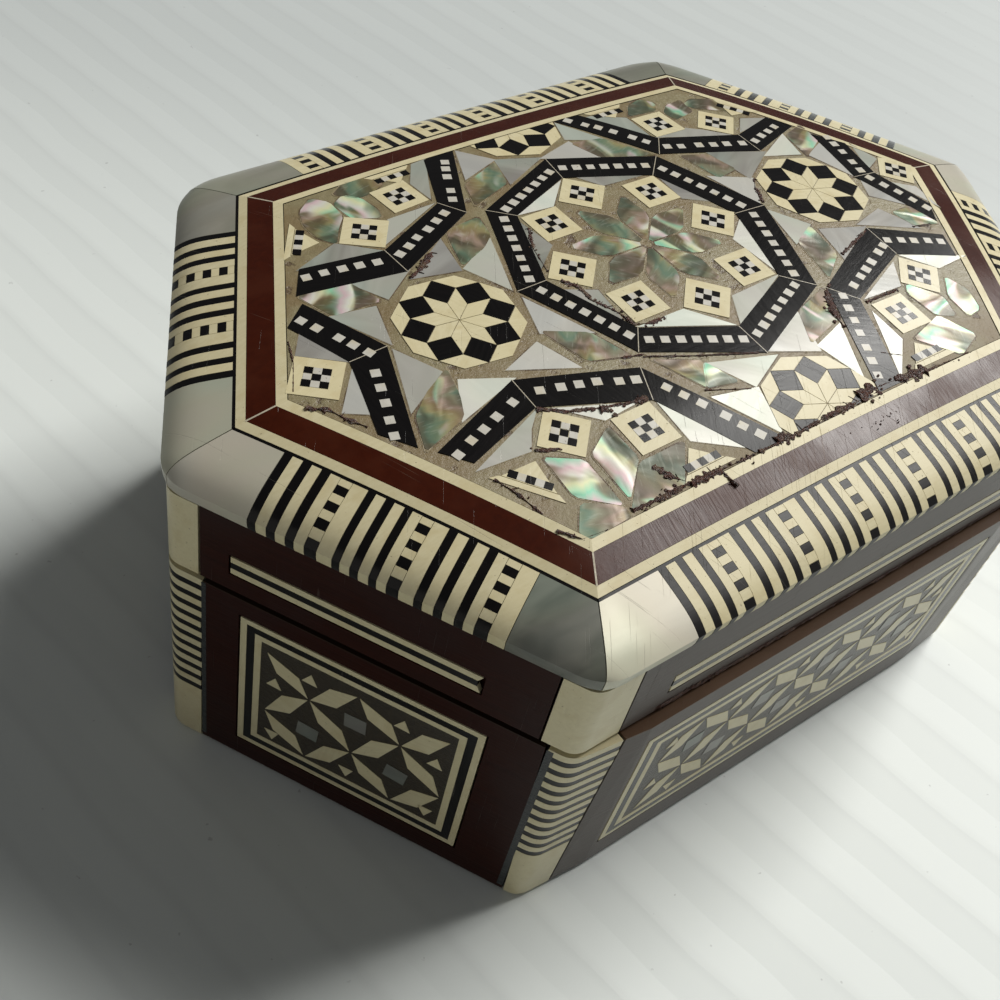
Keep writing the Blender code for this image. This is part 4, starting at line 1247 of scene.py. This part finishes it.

# Pearl tiles: triangles of mother-of-pearl between the straps and the stars. Some are painted near
# white, a painted highlight where the window's light is thrown back, and the others stay lilac grey.

PEARL_SPREAD = 0.3
PEARL_DIRT = 0.46
PEARLS = (
    # Outline and shade; a high shade is painted highlight.
    ([(-44.6, 20.6), (-37.5, 22.9), (-32.9, 18.7)], 0.12),
    ([(-31.8, 19.4), (-27.7, 24.1), (-20.0, 24.4)], 0.42),
    ([(-19.4, 26.1), (-19.6, 30.3), (-16.5, 34.6), (-14.4, 34.8)], 0.25),
    ([(-40.2, 14.8), (-32.2, 13.2), (-37.5, 9.8)], 0.3),
    ([(-32.0, 11.6), (-24.3, 16.4), (-25.6, 10.0)], 0.1),
    ([(-24.7, 9.8), (-18.1, 13.2), (-21.8, 3.7)], 0.5),
    ([(-45.9, 10.0), (-40.1, 8.9), (-42.1, 2.5)], 0.3),
    ([(-42.4, 0.5), (-39.5, -5.2), (-46.1, -8.8)], 0.32),
    ([(-38.1, -7.7), (-32.2, -10.6), (-41.3, -13.1)], 0.85),
    ([(-31.1, -9.0), (-25.2, -7.0), (-23.1, -12.7)], 0.6),
    ([(-21.4, 0.5), (-17.5, -8.4), (-23.4, -5.5)], 0.5),
    ([(-53.4, 6.2), (-51.3, 8.9), (-48.6, 2.1)], 0.15),
    ([(-53.5, -5.1), (-48.4, 1.0), (-50.9, -6.8)], 0.45),
    ([(-44.5, -20.6), (-32.5, -16.3), (-35.2, -18.4), (-37.2, -21.1)], 0.4),
    ([(-30.2, -17.2), (-20.4, -21.3), (-25.6, -21.5)], 0.9),
    ([(-17.5, -22.0), (-17.7, -29.3), (-11.8, -33.6)], 0.85),
    ([(-10.0, -25.4), (-3.6, -26.8), (-5.9, -33.4)], 0.8),
    ([(-6.3, -20.6), (2.8, -23.4), (-3.4, -26.1)], 0.55),
    ([(-11.5, 27.8), (-8.4, 34.4), (-5.0, 30.0)], 0.35),
    ([(-4.6, 29.6), (1.6, 27.1), (-6.3, 23.7)], 0.12),
    ([(-10.4, 16.4), (0.6, 20.5), (-4.6, 16.0)], 0.92),
    ([(-11.5, 14.4), (-10.9, 8.5), (-15.0, 5.3)], 0.08),
    ([(-16.1, 0.0), (-11.3, -2.5), (-12.0, -9.3)], 0.2),
    ([(-10.6, -10.7), (-2.7, -11.0), (1.9, -16.3)], 0.92),
    ([(2.5, 26.9), (9.1, 28.7), (10.8, 23.0)], 0.45),
    ([(9.4, 29.8), (11.1, 34.1), (14.8, 27.1)], 0.4),
    ([(15.5, 33.7), (18.0, 33.5), (22.8, 30.7), (22.5, 25.5)], 0.25),
    ([(23.2, 23.9), (30.0, 23.9), (32.3, 22.3), (36.2, 19.1)], 0.25),
    ([(38.5, 19.6), (41.6, 22.5), (46.2, 21.0)], 0.25),
    ([(28.2, 16.6), (37.1, 13.1), (29.4, 8.7)], 0.08),
    ([(23.4, 11.2), (29.4, 8.2), (25.7, 3.0)], 0.5),
    ([(37.1, 12.3), (44.4, 15.7), (42.8, 10.5)], 0.75),
    ([(44.4, 9.4), (48.7, 11.2), (46.9, 2.1)], 0.45),
    ([(45.3, -2.9), (47.1, 0.3), (50.3, -7.9)], 0.3),
    ([(37.5, -7.7), (43.5, -6.3), (46.2, -12.0)], 0.2),
    ([(30.0, -6.3), (37.1, -8.6), (28.5, -12.5)], 0.1),
    ([(25.7, 0.4), (29.1, -4.5), (24.0, -6.8)], 0.45),
    ([(20.0, 1.0), (15.4, -2.4), (16.0, -10.4)], 0.85),
    ([(6.0, -12.0), (15.5, -11.3), (3.2, -16.5)], 0.4),
    ([(3.2, -22.2), (12.1, -18.6), (9.8, -25.2)], 0.45),
    ([(10.5, -24.7), (16.2, -23.1), (12.1, -31.1)], 0.9),
    ([(23.2, -23.4), (23.0, -28.8), (17.1, -34.3)], 0.9),
    ([(24.4, -20.6), (34.8, -16.8), (31.9, -20.6)], 0.45),
    ([(37.8, -15.9), (48.0, -20.0), (41.6, -20.2)], 0.92),
    ([(51.4, 3.0), (54.1, 8.5), (54.8, 4.4)], 0.3),
    ([(52.1, -2.0), (55.0, -4.3), (54.6, -9.3)], 0.45),
    ([(15.6, 15.0), (15.2, 8.9), (19.4, 6.0)], 0.1),
    ([(3.5, 20.7), (14.1, 16.2), (6.0, 16.9)], 0.12),
)


def joint_dirt():
    f = Finish("joint_dirt")
    grit = f.noise(f.place(), 1.6, 4.0, 0.65)
    cloud = f.noise(f.place(), 0.25, 3.0)
    colour = f.blend(grit, (0.045, 0.026, 0.014), (0.15, 0.10, 0.05))
    colour = f.blend(cloud.above(0.48, 0.1) * 0.75, colour, (0.30, 0.25, 0.15))
    return f.done(colour, 0.4, f.relief(grit, 0.2), Specular_IOR_Level=0.3)


pearls, joint_lines = Inlay(), Inlay()
for outline, tone in PEARLS:
    pearl_tile = shrunk(outline, -PEARL_SPREAD)
    pearls.tile(pearl_tile, on_dome, TILE, tone, pearls.dice.random(), grid=5.0, lift=-0.05)
    joint_lines.tile(shrunk(outline, -PEARL_DIRT), on_dome, TILE, grid=5.0, lift=-0.07)
field_pearl = nacre("field_pearl", (0.155, 0.148, 0.135), (0.70, 0.705, 0.625), (0.42, 0.43, 0.385), 0.4)
pearls.piece("pearl_tiles", field_pearl, "pearl")

# Abalone: kites and slips of green and rose shell, cut from a thin curved shell, so that every piece
# has its own bands, and painted highlights and shade of its own. Eight meet in the middle of the octagon.

ABALONES = (
    # Outline, shade and hue; the shade sets how much of the piece is painted with highlight.
    ([(-38.8, 28.9), (-37.5, 32.1), (-34.7, 34.1), (-32.9, 32.1), (-33.1, 28.2), (-35.2, 26.0),
      (-37.2, 23.2), (-38.6, 25.3)], 0.6, 0.62),
    ([(-32.5, 31.2), (-30.2, 32.5), (-28.4, 30.7), (-27.9, 27.1), (-28.4, 25.3), (-32.0, 27.1)], 0.8, 0.3),
    ([(-31.1, 33.5), (-28.4, 35.2), (-24.7, 34.8), (-23.4, 32.5), (-26.5, 31.2),
      (-28.4, 31.0)], 0.25, 0.25),
    ([(-47.5, 15.7), (-40.9, 16.2), (-38.8, 9.8), (-45.6, 10.3)], 0.85, 0.5),
    ([(-23.1, 15.3), (-22.0, 18.0), (-16.3, 18.5), (-17.2, 14.4), (-19.7, 12.5), (-24.5, 10.7)], 0.35, 0.2),
    ([(-38.6, -5.4), (-39.7, -9.7), (-41.3, -12.9), (-48.1, -15.0), (-46.3, -10.2),
      (-42.9, -7.5)], 0.3, 0.85),
    ([(-23.1, -5.6), (-17.7, -8.6), (-15.5, -14.3), (-21.1, -12.5)], 0.45, 0.12),
    ([(-36.3, -23.1), (-32.2, -25.6), (-32.2, -32.9), (-36.5, -29.3)], 0.9, 0.35),
    ([(-30.6, -25.4), (-26.1, -22.9), (-25.9, -28.4), (-30.6, -32.5)], 0.75, 0.12),
    ([(-31.5, -34.3), (-26.1, -29.2), (-19.0, -29.2), (-23.4, -34.3)], 0.8, 0.15),
    ([(-39.3, -34.0), (-36.5, -30.6), (-32.5, -33.1), (-32.0, -34.7), (-38.4, -35.0)], 0.1, 0.55),
    ([(-13.1, -16.5), (-7.2, -19.7), (-9.7, -23.4)], 0.3, 0.3),
    ([(-9.7, -23.5), (-7.1, -20.0), (-5.2, -24.5)], 0.98, 0.9),
    ([(-12.7, 26.2), (-5.4, 29.1), (-7.0, 23.9), (-14.5, 21.4)], 0.5, 0.85),
    ([(9.4, 28.2), (14.8, 27.3), (19.1, 20.0), (11.0, 23.0)], 0.45, 0.6),
    ([(24.1, 31.2), (26.2, 33.7), (29.4, 34.7), (31.0, 32.8), (29.4, 30.7)], 0.6, 0.8),
    ([(30.3, 29.4), (32.5, 31.2), (35.7, 31.6), (35.3, 28.0), (30.7, 27.1)], 0.9, 0.5),
    ([(35.7, 30.3), (38.0, 31.2), (41.6, 29.8), (41.2, 25.7), (36.2, 28.9)], 0.8, 0.2),
    ([(23.2, 17.8), (27.5, 16.3), (28.8, 11.4), (24.6, 10.7)], 0.25, 0.2),
    ([(45.0, 15.5), (49.8, 16.9), (49.4, 12.5), (43.9, 9.6)], 0.45, 0.25),
    ([(45.3, -7.7), (50.3, -7.9), (50.7, -12.5), (46.2, -11.5)], 0.35, 0.9),
    ([(24.4, -7.0), (28.9, -5.0), (27.8, -11.5), (22.8, -14.7)], 0.9, 0.42),
    ([(12.8, -18.4), (19.6, -16.5), (17.1, -21.8), (10.0, -23.6)], 0.35, 0.5),
    ([(31.9, -22.5), (33.2, -21.1), (36.6, -25.2), (35.3, -28.8), (32.5, -27.5)], 0.75, 0.3),
    ([(37.8, -25.6), (40.7, -22.5), (41.9, -25.6), (40.3, -29.3), (37.5, -29.7)], 0.8, 0.97),
    ([(25.3, -29.7), (32.5, -27.9), (35.0, -32.9), (29.8, -34.7)], 0.85, 0.15),
)
# Shade and hue of the eight leaves of the star (the shade sets how much of each is painted with highlight),
# and its middle.
STAR_LOOK = (
    (0.85, 0.6), (0.6, 0.2), (0.4, 0.3), (0.6, 0.5), (0.8, 0.9), (0.35, 0.75), (0.3, 0.8), (0.85, 0.4),
)
STAR_MIDDLE = (2.3, 2.4)


def abalone_shell():
    f = Finish("abalone_shell")
    tone, tint = f.given("tone"), f.given("tint")
    leaf = f.node("ShaderNodeAttribute", {"attribute_name": "leaf"}, (), 1)
    run = f.node("ShaderNodeSeparateXYZ", {}, (leaf,), 0)
    wander = f.noise(f.place((0.05, 0.3, 0.2), 0.0, "leaf"), 1.0, 2.0, 0.5, 0.3)
    fold = f.noise(f.place((0.3, 0.12, 0.2), 0.35, "leaf"), 1.0, 1.5, 0.45, 0.5)
    line = f.noise(f.place((0.5, 2.4, 0.5), 0.0, "leaf"), 1.0, 2.0, 0.5, 0.2)
    phase = (run * 0.11 + wander * 1.3 + tint * 0.9).math("FRACT")
    hue = f.ramp(phase, (
        (0.0, (0.05, 0.17, 0.12)), (0.16, (0.14, 0.23, 0.14)), (0.3, (0.30, 0.27, 0.11)),
        (0.44, (0.25, 0.17, 0.075)), (0.6, (0.33, 0.22, 0.185)), (0.74, (0.14, 0.11, 0.07)),
        (0.88, (0.17, 0.19, 0.12)), (1.0, (0.05, 0.17, 0.12)),
    ))
    colour = f.blend(0.62, (0.20, 0.175, 0.105), hue)
    # Painted highlights: the brighter pieces are painted green, gold and rose where the fold of the shell
    # faces the light, and painted dark, a painted shade, where the fold turns away.
    painted_highlight = f.ramp((run * 0.19 + wander * 0.8 + tint * 1.7).math("FRACT"), (
        (0.0, (0.24, 0.62, 0.42)), (0.28, (0.72, 0.74, 0.45)), (0.5, (0.70, 0.70, 0.62)),
        (0.72, (0.70, 0.50, 0.54)), (1.0, (0.24, 0.62, 0.42)),
    ))
    light = (fold + tone * 0.33).above(0.80, 0.07)
    colour = f.blend(light * 0.8, colour, painted_highlight)
    colour = f.blend((0.49 - fold).above(0.02, 0.06) * 0.65, colour, (0.045, 0.038, 0.022))
    colour = f.blend(line.above(0.62, 0.06) * 0.12, colour, (0.55, 0.56, 0.48))
    roughness = 0.28 + wander * 0.12 + f.worn() * 0.12
    return f.done(colour, roughness, f.relief(fold * 1.6, 0.3), Metallic=0.12, Specular_IOR_Level=0.4)


def softened(outline, by):
    """The outline with its corners cut back a little, as filed by hand."""
    soft = []
    for k, (x, y) in enumerate(outline):
        for ox, oy in (outline[k - 1], outline[(k + 1) % len(outline)]):
            length = math.hypot(ox - x, oy - y)
            share = min(0.4, by / length)
            soft.append((x + (ox - x) * share, y + (oy - y) * share))
    return soft


abalones = Inlay()


def set_shell(outline, inset, dirt_inset, filed, tone, tint):
    """One piece of shell, with dirt in the joint round it."""
    shell, dirt = (softened(shrunk(outline, by), filed) for by in (inset, dirt_inset))
    abalones.tile(shell, on_dome, TILE, tone, tint, grid=5.0, lift=-0.03)
    joint_lines.tile(dirt, on_dome, TILE, grid=5.0, lift=-0.065)


for outline, tone, tint in ABALONES:
    set_shell(outline, -0.2, -0.4, 0.5, tone, tint)
for k, (tone, tint) in enumerate(STAR_LOOK):
    x, y = STAR_MIDDLE
    a = 22.5 + 45 * k
    leaf = [(x, y), ray(x, y, 7.4, a - 21.5), ray(x, y, 12.3, a), ray(x, y, 7.4, a + 21.5)]
    set_shell(leaf, 0.1, -0.06, 0.9, tone, tint)
abalones.piece("abalone_tiles", abalone_shell(), "abalone", ["abalone_star"])
joint_lines.piece("joint_lines", joint_dirt(), "putty")

# Old resin and dirt: dark red-brown shellac that has oozed from worn joints and dried in crumbs and
# splinters, thickest along the inside of the front frame and under the front edge of the lid.


def old_resin():
    f = Finish("old_resin")
    lumps = f.noise(f.place(), 2.4, 5.0, 0.7)
    dust = f.noise(f.place(), 0.6, 3.0)
    colour = f.blend(lumps.above(0.5, 0.2), (0.008, 0.003, 0.002), (0.11, 0.036, 0.020))
    colour = f.blend(dust.above(0.6, 0.08) * 0.5, colour, (0.17, 0.125, 0.075))
    return f.done(colour, 0.34, f.relief(lumps, 0.45), Specular_IOR_Level=0.5)


def trail(inlay, place, way, width, height):
    """A ragged ridge of crumbs along a way, with thin and thick stretches and splinters across it."""
    dice = inlay.dice
    rings, swell = [], 1.0
    for (x0, y0), (x1, y1) in zip(way, way[1:]):
        length = math.hypot(x1 - x0, y1 - y0)
        nx, ny = (y0 - y1) / length, (x1 - x0) / length
        steps = max(2, round(length / 0.32))
        for step in range(steps + (way[-1] == (x1, y1))):
            share = step / steps
            x, y = x0 + (x1 - x0) * share, y0 + (y1 - y0) * share
            swell = min(1.0, max(0.06, swell + dice.uniform(-0.42, 0.42)))
            left, right = (width * swell * dice.uniform(0.55, 1.3) for _ in range(2))
            rise = height * swell
            profile = ((-left, 0.06), (-left * 0.6, -rise * dice.uniform(0.3, 0.9)), (0.0, -rise))
            profile += ((right * 0.6, -rise * dice.uniform(0.2, 0.9)), (right, 0.06), (0.0, 0.3))
            rings.append([place(x + nx * across, y + ny * across, depth) for across, depth in profile])
            if dice.random() < 0.07:
                reach, lean = dice.choice((-1, 1)) * width * dice.uniform(1.0, 2.2), dice.uniform(-0.8, 0.8)
                sliver = [(x - ny * 0.07, y + nx * 0.07), (x + ny * 0.07, y - nx * 0.07)]
                sliver.append((x + nx * reach + ny * lean, y + ny * reach - nx * lean))
                inlay.tile(sliver, place, 0.2, lift=0.06)
            if dice.random() < 0.4 * swell + 0.1:
                cx, cy = (c + dice.gauss(0.0, width * 0.75) for c in (x, y))
                size = width * dice.uniform(0.15, 0.75)
                crumb = []
                for k in range(7):
                    a, out = math.tau * k / 7, size * dice.uniform(0.45, 1.0)
                    crumb.append((cx + out * math.cos(a), cy + out * math.sin(a)))
                inlay.tile(crumb, place, 0.3, lift=height * dice.uniform(0.15, 0.5))
    inlay.loft(rings)


TRAILS = (
    # Half width, height, and the way it runs.
    (0.53, 0.20, ((-32.4, 11.7), (-29.5, 13.1), (-26.9, 14.9))),
    (0.38, 0.14, ((-11.3, 13.0), (-13.6, 8.9), (-14.9, 3.9))),
    (0.43, 0.16, ((-14.4, 1.6), (-13.0, -0.8), (-13.2, -3.6), (-11.4, -7.4), (-11.0, -10.1),
     (-8.6, -11.0), (-6.2, -10.8))),
    (0.56, 0.25, ((-57.4, -2.3), (-55.0, -3.8), (-54.0, -6.2), (-52.4, -8.6))),
    (0.15, 0.08, ((-53.2, 8.8), (-54.6, 5.2), (-57.2, 0.8))),
    (0.43, 0.22, ((-43.6, -22.7), (-42.4, -25.8), (-41.6, -29.6))),
    (0.38, 0.20, ((-32.4, -16.2), (-29.3, -18.3), (-24.6, -20.0), (-19.6, -21.3))),
    (0.78, 0.30, ((-25.1, -20.0), (-24.2, -20.5))),
    (0.75, 0.30, ((-19.9, -21.2), (-18.4, -21.3))),
    (0.33, 0.14, ((-36.6, -21.5), (-33.7, -22.8))),
    (0.56, 0.22, ((-25.0, -30.4), (-24.0, -32.6), (-22.6, -34.2))),
    (0.20, 0.10, ((-13.9, -15.4), (-7.9, -18.2), (1.2, -21.9))),
    (0.28, 0.12, ((-16.6, -14.3), (-13.6, -15.1))),
    (0.20, 0.08, ((-10.4, -23.8), (-4.4, -26.4))),
    (0.33, 0.14, ((26.5, 2.6), (28.0, 6.0), (29.9, 8.2))),
    (0.35, 0.12, ((28.7, -11.9), (32.0, -10.9), (37.0, -9.3))),
    (0.28, 0.10, ((24.0, -21.2), (30.8, -21.2))),
    (0.69, 0.30, ((16.7, -23.6), (17.4, -20.9), (19.6, -17.2), (21.4, -16.1))),
    (0.19, 0.08, ((18.0, -29.5), (20.7, -31.2))),
    (0.25, 0.10, ((45.6, -11.6), (49.3, -12.4))),
    (0.50, 0.26, ((-31.6, -34.3), (-27.0, -34.5), (-22.5, -34.4))),
    (0.62, 0.30, ((-22.5, -34.6), (-16.0, -34.8), (-11.0, -34.9))),
    (0.28, 0.14, ((-17.6, -35.0), (-17.2, -37.6))),
    (0.38, 0.22, ((-11.0, -34.9), (-7.0, -35.0))),
    (0.78, 0.36, ((-7.6, -34.6), (-6.3, -34.3), (-5.6, -35.1))),
    (0.62, 0.32, ((-5.6, -35.0), (2.0, -34.6), (12.0, -34.6))),
    (0.98, 0.40, ((8.6, -33.9), (14.0, -34.0), (21.8, -34.6))),
    (0.25, 0.14, ((21.8, -34.9), (31.0, -35.0))),
    (0.25, 0.12, ((-41.5, -32.2), (-39.5, -34.6), (-36.0, -35.0))),
)
# Stretches under the front edge of the lid: from, to and half width.
EDGE_TRAILS = ((-33.5, -24.0, 0.75), (-24.0, -8.0, 0.55), (-8.0, 9.0, 0.42), (9.0, 28.0, 0.2))
resin = Inlay()


def under_crown(x, y, depth):
    """On the field, but never above the top of the dome."""
    return (x, y, min(dome(x, y) - depth, HEIGHT - 0.005))


def on_band(x, y, depth):
    return (x, y, dome(x, y) - 0.4 - depth)


for width, height, way in TRAILS:
    trail(resin, under_crown, way, width, height)
# Crumbs on the red band.
for _ in range(26):
    x, y = resin.dice.gauss(9.5, 2.6), -37.6 - abs(resin.dice.gauss(0.0, 0.7))
    size = resin.dice.uniform(0.05, 0.13)
    shape = ((-1.0, 0.0), (-0.3, -0.8), (1.0, -0.2), (0.2, 1.0))
    resin.tile([(x + size * u, y + size * v) for u, v in shape], on_band, 0.3, lift=0.06)
for start, stop, width in EDGE_TRAILS:
    trail(resin, wall_of("front", False), [(start, 40.2), (stop, 40.0)], width, 0.12)
resin.piece("old_resin", old_resin(), "putty")
